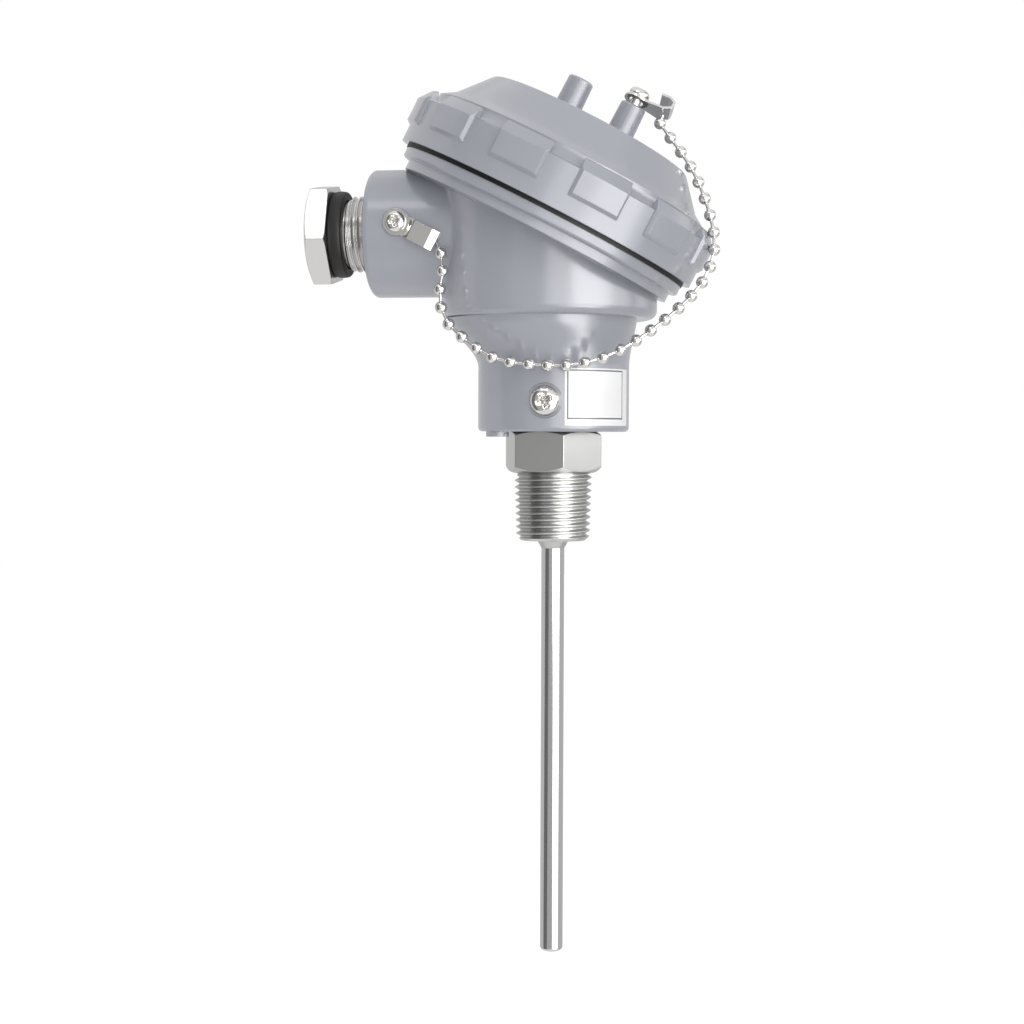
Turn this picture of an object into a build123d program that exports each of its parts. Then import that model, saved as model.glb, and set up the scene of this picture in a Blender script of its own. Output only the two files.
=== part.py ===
"""Resistance temperature probe with a slanted connection head.

Millimetres. The origin is on the probe's axis, at the hexagon's lower shoulder, where the process
thread starts. +Z runs up through the head, -X points out of the cable entry, -Y is the front.
"""

from build123d import *
import os
from math import cos, radians, sin

os.makedirs("parts", exist_ok=True)

# Clearances and small common sizes
thread_gap = 0.3  # radial, between two threads that turn in each other
fit_gap = 0.05  # radial, round fits that never move
ring_gap = 0.3  # radial, rubber rings round a metal part
edge_break = 0.4

# Process connection: half inch taper thread, hexagon and stub
thread_length = 18.0
thread_radius = 10.67
thread_taper = 1 / 32  # radius lost for each length
thread_lead_in = 1.2
hexagon_flats = 24.0
hexagon_height = 11.8
hexagon_cone_height = 2.3
hexagon_turn = -72.0
stub_radius = 12.0
stub_length = 12.0
weld_radius = 4.4
weld_length = 2.2
hexagon_chamfer = 1.0

# Probe sheath and what it holds
sheath_radius = 3.175
sheath_wall = 0.85
sheath_seat_radius = 2.95  # turned down where it sits in the nipple
sheath_length = 114.3  # below the process thread
sheath_rise = 14.0  # above the origin, inside the nipple
sheath_tip_wall = 1.5
sheath_tip_round = 1.2
element_radius = 1.4
element_length = 16.0
seal_depth = 3.0
conductor_radius = 0.3
conductor_circle = 1.0
wire_turns = (60.0, -60.0, 180.0)
wire_radius = 0.65
wire_sides = 8
wire_straight = 2.5
wire_bend = 1.4

# Neck and funnel of the head
neck_radius = 20.7
neck_height = 16.2
neck_edge_round = 1.2
neck_bore_height = 15.0
neck_hollow_radius = 17.0
neck_pad_radius = 3.1
neck_pad_drop = 1.4
neck_pad_angle = 215.0
funnel_height = 14.5
funnel_top_radius = 26.4
funnel_top_shift = -3.6
funnel_flare = [(0.3, 0.10), (0.6, 0.49), (0.85, 0.84), (1.0, 1.0)]

# Bowl of the head
bowl_radius = 29.5
bowl_shift = -1.3
bowl_edge_round = 2.4
bowl_wall = 3.2
floor_thickness = 3.5
floor_hole_radius = 9.0

# Slanted seat of the cap
seat_tilt = 27.1
seat_shift = -2.6
seat_height = 70.45
flange_inset = 2.1  # from the cap's skirt
flange_top = -0.3
flange_thickness = 2.6
lip_inset = 4.1
lip_thickness = 2.8
seat_web = 3.2
collar_wall = 3.2
collar_top = 10.5

# Cap, heights measured along its own axis from the seat
gasket_thickness = 1.1
gasket_inset = 1.85
cap_skirt_radius = 43.9
cap_skirt_wall = 4.3
cap_skirt_top = 12.46
cap_shoulder_inset = 3.6
cap_shoulder_height = 16.26
cap_shoulder_bulge = 1.05
cap_collar_room = 0.7
cap_shelf_inset = 7.3
cap_shelf_height = 18.6
cap_top_radius = 29.3
cap_top_height = 27.1
cap_top_round = 1.2
cap_wall = 3.2
lug_count = 12
lug_width = 18.6  # degrees
lug_first = -8.3
lug_proud = 1.2
lug_bottom = 5.3
lug_top = 15.6
lug_slope = 0.9
lug_side_bevel = 0.8
post_radius = 3.85
post_spread = 8.0
post_height = 10.5
post_draft = 1.5
post_edge_round = 0.7

# Cable entry boss and its gland
boss_radius = 17.5
boss_height = 66.3
boss_end = -50.3
boss_end_round = 1.8
boss_fillet = 1.6
gland_thread_radius = 10.45
gland_thread_grip = 5.0
gland_thread_bare = 7.0
gland_bore_radius = 5.5
gland_hex_flats = 26.0
gland_hex_thickness = 6.2
gland_hex_turn = 20.0
gland_chamfer = 1.1
gland_face_margin = 0.6
gland_relief_radius = 9.2
gland_ring_thickness = 3.7
gland_ring_radius = 11.5
gland_travel_in = 6.4
grommet_length = 6.0
grommet_bore_radius = 4.5
washer_thickness = 0.8
washer_bore_radius = 6.0
passage_radius = 8.0

# Pan head screws: head radius, head height, shank radius
chain_screw = (2.9, 1.9, 1.45)
neck_screw = (4.1, 2.5, 2.4)
block_screw = (3.4, 2.2, 1.95)
terminal_screw = (2.3, 1.6, 1.2)
recess_span = 1.25  # share of the head's radius
recess_width = 0.28
recess_depth = 0.6  # share of the head's height
head_bevel = 0.4
neck_screw_height = 20.0
neck_flat_depth = 0.5
neck_flat_radius = 4.7
chain_screw_grip = 4.6
chain_screw_place = -40.5
chain_screw_rise = 1.35
chain_pad_radius = 3.8
chain_pad_proud = 0.3
post_screw_stand = 2.9  # from the post's top to the underside of the head
post_screw_grip = 5.0

# Terminal block
block_radius = 20.5
block_height = 9.0
block_hole_radius = 5.0
block_screw_spread = 16.5
terminal_length = 10.0
terminal_width = 7.0
terminal_height = 6.0
terminal_sink = 1.2
terminal_spread = (12.0, 5.5)
terminal_screw_spread = 2.8
terminal_screw_grip = 3.4
block_rib_width = 1.6
block_rib_height = 3.5

# Chain and its two sheet metal tabs
bead_radius = 1.6
bead_flat = 1.35  # from a bead's centre to the flat at each pole
bead_waist = 0.6
bead_waist_radius = 1.5
bead_pole_radius = 0.85
bead_sides = 10
bead_count = 31
link_radius = 0.4
link_gap = 0.1
tab_thickness = 0.6
tab_width = 5.5
tab_eye_radius = 3.5
tab_bend = 0.5
link_sides = 6
boss_tab_droop = 27.0
boss_tab_line = [(0, 0), (3.7, 0), (4.9, 0.9), (10.0, 0.9), (11.9, 0.2)]
boss_pin_foot = (12.4, 0, 0.35)
cap_tab_roll = 17.0
cap_tab_line = [(0, 0), (7.6, 0), (9.9, 1.4), (9.9, 3.6), (8.0, 4.6), (5.6, 4.4)]
cap_tab_eye_hole = 2.1
cap_pin_foot = (8.2, 0, -0.1)

# The chain's route by hand: from the boss tab's end, round the neck, past the cap, to the post
chain_from_boss = [(1.5, -1.8, -3.0), (2.1, -2.6, -8.0), (1.5, -3.4, -13.0), (2.0, -3.9, -17.7)]
chain_round_neck = [  # x, clear of the neck's front, above the neck's top
    (-25.3, 1.6, 11.9),
    (-21.4, 2.0, 8.4),
    (-13.8, 2.5, 3.4),
    (-4.3, 2.8, 1.5),
    (5.6, 2.7, 1.2),
    (14.7, 1.8, 2.9),
    (22.5, -0.5, 6.8),
]
chain_past_cap = [  # out from the skirt, degrees round the cap, above the seat
    (1.8, -22.1, -13.0),
    (3.8, -16.8, -4.5),
    (4.6, -12.7, 3.9),
    (2.2, -9.7, 13.2),
    (-5.0, -7.4, 21.9),
]
chain_to_post = [(22.5, -2.8, -8.8), (13.2, -1.1, -3.7), (8.6, -0.5, -1.3)]

# Places that follow from the sizes above
neck_bottom = hexagon_height
neck_top = neck_bottom + neck_height
ledge_height = neck_top + funnel_height
floor_height = ledge_height + floor_thickness
hexagon_corner = hexagon_flats / 2 / cos(radians(30))
sheath_bottom = -thread_length - sheath_length
weld_bottom = -thread_length - weld_length
sheath_bore = sheath_radius - sheath_wall
core_radius = sheath_bore - fit_gap
seal_bottom = sheath_rise - seal_depth
flange_bottom = flange_top - flange_thickness
lip_bottom = flange_bottom - lip_thickness
skirt_bottom = flange_top + gasket_thickness
flange_radius = cap_skirt_radius - flange_inset
lip_radius = cap_skirt_radius - lip_inset
gasket_radius = cap_skirt_radius - gasket_inset
cap_bore_radius = cap_skirt_radius - cap_skirt_wall
collar_radius = cap_bore_radius - thread_gap
cap_shoulder_radius = cap_skirt_radius - cap_shoulder_inset
cap_shelf_radius = cap_skirt_radius - cap_shelf_inset
gland_tip = boss_end + gland_thread_grip
gland_face = boss_end - gland_thread_bare
gland_hex_face = gland_face - gland_ring_thickness
washer_face = gland_tip + gland_travel_in + thread_gap
shoulder_place = washer_face + washer_thickness + grommet_length
boss_bore_radius = gland_thread_radius + thread_gap
block_top = floor_height + block_height
terminal_floor = block_top - terminal_sink

seat = Plane(
    origin=(seat_shift, 0, seat_height),
    x_dir=(cos(radians(seat_tilt)), 0, -sin(radians(seat_tilt))),
    z_dir=(sin(radians(seat_tilt)), 0, cos(radians(seat_tilt))),
)
# Half section through the seat's axis: x outwards, y up the axis
seat_section = Plane(origin=seat.origin, x_dir=seat.x_dir, z_dir=-seat.y_dir)
seat_axis = Axis(seat.origin, seat.z_dir)
boss_section = Plane(origin=(0, 0, boss_height), x_dir=(1, 0, 0), z_dir=(0, -1, 0))
boss_axis = Axis((0, 0, boss_height), (1, 0, 0))


def seat_point(out, side, up):
    """A point given along the seat's own directions."""
    return seat.origin + seat.x_dir * out + seat.y_dir * side + seat.z_dir * up


def save(part, name):
    """Label a finished piece and write it."""
    part.label = name
    export_step(part, f"parts/{name}.step")


def pan_head_screw(under_head, sizes, grip):
    """Pan head screw with a cross recess, its head on the plane and its shank behind it."""
    head_radius, head_height, shank_radius = sizes
    with BuildPart() as screw:
        with BuildSketch(under_head):
            Circle(head_radius)
        extrude(amount=head_height)
        head_top = screw.faces().filter_by(lambda face: face.normal_at().dot(under_head.z_dir) > 0.9)
        chamfer(head_top.edges(), head_height * head_bevel)
        with BuildSketch(under_head):
            Circle(shank_radius)
        extrude(amount=-grip)
        with BuildSketch(under_head.offset(head_height)):
            Rectangle(head_radius * recess_span, head_radius * recess_width)
            Rectangle(head_radius * recess_width, head_radius * recess_span)
        extrude(amount=-head_height * recess_depth, mode=Mode.SUBTRACT)
    return screw.part


# Head casting: bowl and cable entry boss first, so that their joint can be rounded
neck_screw_seat = Plane(
    origin=(0, -neck_radius + neck_flat_depth, neck_screw_height), x_dir=(1, 0, 0), z_dir=(0, -1, 0)
)
chain_pad = Plane(
    origin=(chain_screw_place, -boss_radius - chain_pad_proud, boss_height + chain_screw_rise),
    x_dir=(1, 0, 0),
    z_dir=(0, -1, 0),
)
with BuildPart() as head_body:
    with BuildSketch(Plane.XY.offset(ledge_height)):
        with Locations((bowl_shift, 0)):
            Circle(bowl_radius)
    extrude(amount=seat_height + bowl_radius - ledge_height)
    with BuildSketch(Plane(origin=(boss_end, 0, boss_height), z_dir=(1, 0, 0))):
        Circle(boss_radius)
    extrude(amount=bowl_shift - boss_end)
    boss_joint = head_body.edges().filter_by(GeomType.BSPLINE)
    fillet(boss_joint, boss_fillet)
    fillet(head_body.edges().filter_by(GeomType.CIRCLE).sort_by(Axis.X)[0], boss_end_round)
    fillet(head_body.edges().filter_by(GeomType.CIRCLE).sort_by(Axis.Z)[0], bowl_edge_round)
    split(bisect_by=seat.offset(lip_bottom), keep=Keep.BOTTOM)

    # Flange, lip and threaded collar round the slanted mouth
    with BuildSketch(seat_section):
        with BuildLine():
            Polyline(
                (0, lip_bottom),
                (lip_radius, lip_bottom),
                (lip_radius, flange_bottom - edge_break),
                (flange_radius - edge_break, flange_bottom),
                (flange_radius, flange_bottom + edge_break),
                (flange_radius, flange_top),
                (collar_radius, flange_top),
                (collar_radius, collar_top - edge_break),
                (collar_radius - edge_break, collar_top),
                (0, collar_top),
                close=True,
            )
        make_face()
    revolve(axis=seat_axis)

    # Funnel from the bowl down to the neck, fuller towards the cable entry
    with BuildSketch(Plane.XY.offset(neck_top)):
        Circle(neck_radius)
    for rise, flare in funnel_flare:
        with BuildSketch(Plane.XY.offset(neck_top + rise * funnel_height)):
            with Locations((funnel_top_shift * flare, 0)):
                Circle(neck_radius + (funnel_top_radius - neck_radius) * flare)
    loft()
    with BuildSketch(Plane.XY.offset(neck_bottom)):
        Circle(neck_radius)
    extrude(amount=neck_height)
    fillet(head_body.edges().filter_by(GeomType.CIRCLE).sort_by(Axis.Z)[0], neck_edge_round)
    pad_reach = neck_radius - neck_pad_radius - edge_break
    with BuildSketch(Plane.XY.offset(neck_bottom - neck_pad_drop)):
        with Locations((pad_reach * cos(radians(neck_pad_angle)), pad_reach * sin(radians(neck_pad_angle)))):
            Circle(neck_pad_radius)
    extrude(amount=neck_pad_drop + neck_edge_round)

    # Pad under the chain's tab
    with BuildSketch(chain_pad):
        Circle(chain_pad_radius)
    extrude(amount=-boss_radius / 4)

    # Hollow mouth and bowl
    with BuildSketch(seat_section):
        with BuildLine():
            Polyline(
                (0, lip_bottom + seat_web),
                (collar_radius - collar_wall, lip_bottom + seat_web),
                (collar_radius - collar_wall, collar_top),
                (0, collar_top),
                close=True,
            )
        make_face()
    revolve(axis=seat_axis, mode=Mode.SUBTRACT)
    with BuildSketch(Plane.XY.offset(floor_height)):
        with Locations((bowl_shift, 0)):
            Circle(bowl_radius - bowl_wall)
    extrude(amount=seat_height + bowl_radius - floor_height, mode=Mode.SUBTRACT)

    # Neck bore for the nipple, the hollow above it and the wire hole in the floor
    with BuildSketch(Plane.XZ):
        with BuildLine():
            Polyline(
                (0, neck_bottom),
                (stub_radius + fit_gap, neck_bottom),
                (stub_radius + fit_gap, neck_bottom + neck_bore_height),
                (neck_hollow_radius, neck_bottom + neck_bore_height + neck_hollow_radius - stub_radius),
                (neck_hollow_radius, ledge_height),
                (floor_hole_radius, ledge_height),
                (floor_hole_radius, floor_height),
                (0, floor_height),
                close=True,
            )
        make_face()
    revolve(axis=Axis.Z, mode=Mode.SUBTRACT)

    # Threaded bore of the cable entry and the passage into the bowl
    with BuildSketch(boss_section):
        with BuildLine():
            Polyline(
                (boss_end, 0),
                (boss_end, boss_bore_radius),
                (shoulder_place, boss_bore_radius),
                (shoulder_place, passage_radius),
                (bowl_shift - bowl_radius / 2, passage_radius),
                (bowl_shift - bowl_radius / 2, 0),
                close=True,
            )
        make_face()
    revolve(axis=boss_axis, mode=Mode.SUBTRACT)

    # Screw holes: neck, chain and terminal block
    with BuildSketch(neck_screw_seat):
        Circle(neck_flat_radius)
    extrude(amount=neck_radius / 4, mode=Mode.SUBTRACT)
    with BuildSketch(neck_screw_seat):
        Circle(neck_screw[2] + fit_gap)
    extrude(amount=stub_radius - neck_radius, mode=Mode.SUBTRACT)
    with BuildSketch(chain_pad):
        Circle(chain_screw[2] + fit_gap)
    extrude(amount=-chain_screw_grip - tab_thickness, mode=Mode.SUBTRACT)
    with BuildSketch(Plane.XY.offset(floor_height)):
        with Locations((bowl_shift, block_screw_spread), (bowl_shift, -block_screw_spread)):
            Circle(block_screw[2] + fit_gap)
    extrude(amount=-floor_thickness + edge_break, mode=Mode.SUBTRACT)
save(head_body.part, "head_body")

# One finger lug of the cap, centred on the seat's own x direction
with BuildPart() as lug:
    with BuildSketch(seat_section):
        with BuildLine():
            Polyline(
                (cap_skirt_radius - 2 * lug_proud, lug_bottom),
                (cap_skirt_radius, lug_bottom),
                (cap_skirt_radius + lug_proud, lug_bottom + lug_slope),
                (cap_skirt_radius + lug_proud, cap_skirt_top),
                (cap_skirt_radius - lug_proud, lug_top),
                (cap_skirt_radius - 2 * lug_proud, cap_skirt_top),
                close=True,
            )
        make_face()
    revolve(axis=seat_axis, revolution_arc=lug_width)
    upright = lug.edges().filter_by(seat_axis)
    outermost = upright.sort_by(lambda edge: (edge.center() - seat.origin).length)[-2:]
    chamfer(outermost, lug_side_bevel)
lug_centred = lug.part.rotate(seat_axis, -lug_width / 2)

# Cap: a lugged skirt, a rounded shoulder, a steep cone and a flat top with two posts
post_top = Plane(
    origin=seat_point(post_spread, 0, cap_top_height + post_height), x_dir=seat.x_dir, z_dir=seat.z_dir
)
with BuildPart() as cap:
    with BuildSketch(seat_section):
        with BuildLine():
            Polyline(
                (0, cap_top_height),
                (0, skirt_bottom),
                (cap_skirt_radius, skirt_bottom),
                (cap_skirt_radius, cap_skirt_top),
            )
            SagittaArc(
                (cap_skirt_radius, cap_skirt_top),
                (cap_shoulder_radius, cap_shoulder_height),
                cap_shoulder_bulge,
            )
            Polyline(
                (cap_shoulder_radius, cap_shoulder_height),
                (cap_shelf_radius, cap_shelf_height),
                (cap_top_radius, cap_top_height),
                (0, cap_top_height),
            )
        make_face()
    revolve(axis=seat_axis)
    fillet(cap.edges().filter_by(GeomType.CIRCLE).sort_by(seat_axis)[-1], cap_top_round)
    for count in range(lug_count):
        add(lug_centred.rotate(seat_axis, lug_first + count * 360 / lug_count))

    # Posts, the lower one drilled for the chain's screw
    with BuildSketch(seat.offset(cap_top_height)):
        with Locations((post_spread, 0), (-post_spread, 0)):
            Circle(post_radius)
    extrude(amount=post_height, taper=post_draft)
    fillet(cap.edges().filter_by(GeomType.CIRCLE).sort_by(seat_axis)[-2:], post_edge_round)
    with BuildSketch(post_top):
        Circle(chain_screw[2] + fit_gap)
    extrude(amount=-post_screw_grip - edge_break, mode=Mode.SUBTRACT)

    # Inside: the thread's bore, then a hollow that follows the outside
    with BuildSketch(seat_section):
        with BuildLine():
            Polyline(
                (0, skirt_bottom),
                (cap_bore_radius, skirt_bottom),
                (cap_bore_radius, collar_top + cap_collar_room),
                (cap_shoulder_radius - cap_wall, cap_shoulder_height - cap_wall + cap_collar_room),
                (cap_shelf_radius - cap_wall, cap_shelf_height - cap_wall),
                (cap_top_radius - cap_wall, cap_top_height - cap_wall),
                (0, cap_top_height - cap_wall),
                close=True,
            )
        make_face()
    revolve(axis=seat_axis, mode=Mode.SUBTRACT)
save(cap.part, "cap")

# Gasket on the flange, round the collar and under the cap's skirt
with BuildPart() as cap_gasket:
    with BuildSketch(seat.offset(flange_top)):
        Circle(gasket_radius)
        Circle(collar_radius + ring_gap, mode=Mode.SUBTRACT)
    extrude(amount=gasket_thickness)
save(cap_gasket.part, "cap_gasket")

# Process nipple: chamfered hexagon, taper thread blank, weld fillet and the stub in the neck
with BuildPart() as process_nipple:
    with BuildSketch(Plane.XY):
        RegularPolygon(hexagon_corner, 6, rotation=hexagon_turn)
    extrude(amount=hexagon_height)
    with BuildSketch(Plane.XZ):
        with BuildLine():
            Polyline(
                (0, 0),
                (thread_radius, 0),
                (hexagon_corner, hexagon_cone_height),
                (hexagon_corner, hexagon_height - hexagon_chamfer),
                (hexagon_flats / 2, hexagon_height),
                (0, hexagon_height),
                close=True,
            )
        make_face()
    revolve(axis=Axis.Z, mode=Mode.INTERSECT)
    thread_end_radius = thread_radius - thread_taper * (thread_length - thread_lead_in)
    with BuildSketch(Plane.XZ):
        with BuildLine():
            Polyline((0, 0), (thread_radius, 0), (thread_end_radius, thread_lead_in - thread_length))
            Polyline(
                (thread_end_radius, thread_lead_in - thread_length),
                (thread_end_radius - thread_lead_in, -thread_length),
                (weld_radius, -thread_length),
                (sheath_radius, weld_bottom),
                (0, weld_bottom),
                (0, 0),
            )
        make_face()
    revolve(axis=Axis.Z)
    with BuildSketch(Plane.XY.offset(hexagon_height)):
        Circle(stub_radius)
    extrude(amount=stub_length)
    chamfer(process_nipple.edges().filter_by(GeomType.CIRCLE).sort_by(Axis.Z)[-1], thread_lead_in)
    with BuildSketch(Plane.XY.offset(weld_bottom)):
        Circle(sheath_seat_radius + fit_gap)
    extrude(amount=hexagon_height + stub_length - weld_bottom, mode=Mode.SUBTRACT)
save(process_nipple.part, "process_nipple")

# Sheath, closed at the tip
with BuildPart() as sheath:
    with BuildSketch(Plane.XY.offset(sheath_bottom)):
        Circle(sheath_radius)
    extrude(amount=weld_bottom - sheath_bottom)
    fillet(sheath.edges().filter_by(GeomType.CIRCLE).sort_by(Axis.Z)[0], sheath_tip_round)
    with BuildSketch(Plane.XY.offset(weld_bottom)):
        Circle(sheath_seat_radius)
    extrude(amount=sheath_rise - weld_bottom)
    with BuildSketch(Plane.XY.offset(sheath_bottom + sheath_tip_wall)):
        Circle(sheath_bore)
    extrude(amount=sheath_rise - sheath_bottom - sheath_tip_wall, mode=Mode.SUBTRACT)
save(sheath.part, "sheath")

# Sensing element in the tip
element_top = sheath_bottom + sheath_tip_wall + element_length
with BuildPart() as sensing_element:
    with BuildSketch(Plane.XY.offset(sheath_bottom + sheath_tip_wall)):
        Circle(element_radius)
    extrude(amount=element_length)
save(sensing_element.part, "sensing_element")

# Three conductors in the packed insulation, from the element to the seal
with BuildPart() as conductors:
    with BuildSketch(Plane.XY.offset(element_top)):
        for turn in wire_turns:
            with PolarLocations(conductor_circle, 1, start_angle=turn):
                Circle(conductor_radius)
    extrude(amount=sheath_rise - element_top)
save(conductors.part, "conductors")

with BuildPart() as insulation_core:
    with BuildSketch(Plane.XY.offset(sheath_bottom + sheath_tip_wall)):
        Circle(core_radius)
    extrude(amount=seal_bottom - sheath_bottom - sheath_tip_wall)
    with BuildSketch(Plane.XY.offset(sheath_bottom + sheath_tip_wall)):
        Circle(element_radius + fit_gap)
    extrude(amount=element_length, mode=Mode.SUBTRACT)
    with BuildSketch(Plane.XY.offset(element_top)):
        for turn in wire_turns:
            with PolarLocations(conductor_circle, 1, start_angle=turn):
                Circle(conductor_radius + fit_gap)
    extrude(amount=seal_bottom - element_top, mode=Mode.SUBTRACT)
save(insulation_core.part, "insulation_core")

with BuildPart() as sheath_seal:
    with BuildSketch(Plane.XY.offset(seal_bottom)):
        Circle(core_radius)
        for turn in wire_turns:
            with PolarLocations(conductor_circle, 1, start_angle=turn):
                Circle(conductor_radius + fit_gap, mode=Mode.SUBTRACT)
    extrude(amount=seal_depth)
save(sheath_seal.part, "sheath_seal")

# Ceramic terminal block on the bowl's floor, with a pocket for each brass terminal
terminal_places = [
    (bowl_shift + sign_x * terminal_spread[0], sign_y * terminal_spread[1])
    for sign_x in (1, -1)
    for sign_y in (1, -1)
]
with BuildPart() as terminal_block:
    with BuildSketch(Plane.XY.offset(floor_height)):
        with Locations((bowl_shift, 0)):
            Circle(block_radius)
            Circle(block_hole_radius, mode=Mode.SUBTRACT)
        with Locations((bowl_shift, block_screw_spread), (bowl_shift, -block_screw_spread)):
            Circle(block_screw[2] + fit_gap, mode=Mode.SUBTRACT)
    extrude(amount=block_height)
    with BuildSketch(Plane.XY.offset(block_top)):
        with Locations((bowl_shift + terminal_spread[0], 0), (bowl_shift - terminal_spread[0], 0)):
            Rectangle(terminal_length, block_rib_width)
    extrude(amount=block_rib_height)
    with BuildSketch(Plane.XY.offset(block_top)):
        with Locations(*terminal_places):
            Rectangle(terminal_length + 2 * fit_gap, terminal_width + 2 * fit_gap)
    extrude(amount=-terminal_sink, mode=Mode.SUBTRACT)
save(terminal_block.part, "terminal_block")

terminal_top = terminal_floor + terminal_height
with BuildPart() as terminals:
    with BuildSketch(Plane.XY.offset(terminal_floor)):
        with Locations(*terminal_places):
            Rectangle(terminal_length, terminal_width)
    extrude(amount=terminal_height)
    with BuildSketch(Plane.XY.offset(terminal_top)):
        with Locations(*terminal_places):
            with Locations((terminal_screw_spread, 0), (-terminal_screw_spread, 0)):
                Circle(terminal_screw[2] + fit_gap)
    extrude(amount=-terminal_screw_grip - edge_break, mode=Mode.SUBTRACT)
save(terminals.part, "terminals")

terminal_screws = Compound(
    children=[
        pan_head_screw(
            Plane(origin=(place[0] + side * terminal_screw_spread, place[1], terminal_top)),
            terminal_screw,
            terminal_screw_grip,
        )
        for place in terminal_places
        for side in (1, -1)
    ]
)
save(terminal_screws, "terminal_screws")

block_screws = Compound(
    children=[
        pan_head_screw(
            Plane(origin=(bowl_shift, side * block_screw_spread, block_top)),
            block_screw,
            block_height + floor_thickness - 2 * edge_break,
        )
        for side in (1, -1)
    ]
)
save(block_screws, "block_screws")


def lead_wire(turn, side_x, side_y):
    """Insulated lead from the seal up through the floor and the block to a terminal's inner end."""
    start = (conductor_circle * cos(radians(turn)), conductor_circle * sin(radians(turn)))
    end_x = bowl_shift + side_x * (terminal_spread[0] - terminal_length / 2)
    end_y = side_y * terminal_spread[1]
    wire_level = terminal_floor + terminal_height / 2
    with BuildPart() as wire:
        with BuildLine() as route:
            FilletPolyline(
                (*start, sheath_rise),
                (*start, wire_level),
                (end_x - side_x * wire_straight, end_y, wire_level),
                (end_x, end_y, wire_level),
                radius=wire_bend,
            )
        with BuildSketch(Plane(origin=(*start, sheath_rise))):
            RegularPolygon(wire_radius, wire_sides)
        sweep(path=route.wires()[0])
    return wire.part


lead_wires_red = Compound(children=[lead_wire(wire_turns[0], 1, 1), lead_wire(wire_turns[1], 1, -1)])
save(lead_wires_red, "lead_wires_red")
save(lead_wire(wire_turns[2], -1, 1), "lead_wire_white")

# Gland screw: a chamfered hexagon and a threaded tube with the cable's bore
gland_end = gland_hex_face - gland_hex_thickness
gland_corner = gland_hex_flats / 2 / cos(radians(30))
with BuildPart() as gland_screw:
    with BuildSketch(Plane(origin=(gland_hex_face, 0, boss_height), x_dir=(0, -1, 0), z_dir=(-1, 0, 0))):
        RegularPolygon(gland_corner, 6, rotation=90 - 2 * gland_hex_turn)
    extrude(amount=gland_hex_thickness)
    with BuildSketch(boss_section):
        with BuildLine():
            Polyline(
                (gland_end, 0),
                (gland_end, gland_hex_flats / 2 - gland_face_margin),
                (gland_end + gland_chamfer, gland_corner),
                (gland_hex_face - edge_break, gland_corner),
                (gland_hex_face, gland_corner - 2 * edge_break),
                (gland_hex_face, 0),
                close=True,
            )
        make_face()
    revolve(axis=boss_axis, mode=Mode.INTERSECT)
    with BuildSketch(boss_section):
        with BuildLine():
            Polyline(
                (gland_hex_face, 0),
                (gland_hex_face, gland_relief_radius),
                (gland_face, gland_relief_radius),
                (gland_face + gland_thread_radius - gland_relief_radius, gland_thread_radius),
                (gland_tip - gland_chamfer, gland_thread_radius),
                (gland_tip, gland_thread_radius - gland_chamfer),
                (gland_tip, 0),
                close=True,
            )
        make_face()
    revolve(axis=boss_axis)
    with BuildSketch(Plane(origin=(gland_end, 0, boss_height), z_dir=(1, 0, 0))):
        Circle(gland_bore_radius)
    extrude(amount=gland_tip - gland_end, mode=Mode.SUBTRACT)
    chamfer(gland_screw.edges().filter_by(GeomType.CIRCLE).sort_by(Axis.X)[0], edge_break)
save(gland_screw.part, "gland_screw")


def ring(start, length, outer, inner):
    """Plain ring on the cable entry's axis."""
    with BuildPart() as made:
        with BuildSketch(Plane(origin=(start, 0, boss_height), z_dir=(1, 0, 0))):
            Circle(outer)
            Circle(inner, mode=Mode.SUBTRACT)
        extrude(amount=length)
    return made.part


gland_ring = ring(gland_hex_face, gland_ring_thickness, gland_ring_radius, gland_relief_radius + ring_gap)
save(gland_ring, "gland_ring")
grommet_washer = ring(washer_face, washer_thickness, boss_bore_radius - ring_gap, washer_bore_radius)
save(grommet_washer, "grommet_washer")
cable_grommet = ring(
    washer_face + washer_thickness, grommet_length, boss_bore_radius - ring_gap, grommet_bore_radius
)
save(cable_grommet, "cable_grommet")

# Screws on the outside
neck_screw_part = pan_head_screw(neck_screw_seat, neck_screw, neck_radius - neck_flat_depth - stub_radius)
save(neck_screw_part, "neck_screw")
boss_tab_foot = Plane(
    origin=chain_pad.origin,
    x_dir=(cos(radians(boss_tab_droop)), 0, -sin(radians(boss_tab_droop))),
    z_dir=chain_pad.z_dir,
)
save(
    pan_head_screw(chain_pad.offset(tab_thickness), chain_screw, chain_screw_grip + tab_thickness),
    "chain_screw_boss",
)
save(
    pan_head_screw(post_top.offset(post_screw_stand), chain_screw, post_screw_grip + post_screw_stand),
    "chain_screw_cap",
)


def chain_tab(foot, underside, eye_hole):
    """Bent strip with a round eye; underside is its lower line from the eye outwards."""
    side_view = Plane(origin=foot.origin, x_dir=foot.x_dir, z_dir=-foot.y_dir)
    with BuildPart() as tab:
        with BuildSketch(side_view):
            with BuildLine():
                FilletPolyline(*underside, radius=tab_bend)
                offset(amount=tab_thickness, side=Side.LEFT)
            make_face()
        extrude(amount=tab_width / 2, both=True)
        with BuildSketch(foot):
            Circle(tab_eye_radius)
        extrude(amount=tab_thickness)
        with BuildSketch(foot):
            Circle(eye_hole)
        extrude(amount=tab_thickness, mode=Mode.SUBTRACT)
    return tab.part


save(chain_tab(boss_tab_foot, boss_tab_line, chain_screw[2] + fit_gap), "chain_tab_boss")
roll = radians(cap_tab_roll)
cap_tab_foot = Plane(
    origin=post_top.origin + post_top.z_dir * (tab_eye_radius * sin(roll) + edge_break / 4),
    x_dir=seat.x_dir,
    z_dir=post_top.z_dir * cos(roll) + seat.y_dir * sin(roll),
)
save(chain_tab(cap_tab_foot, cap_tab_line, cap_tab_eye_hole), "chain_tab_cap")

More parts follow.
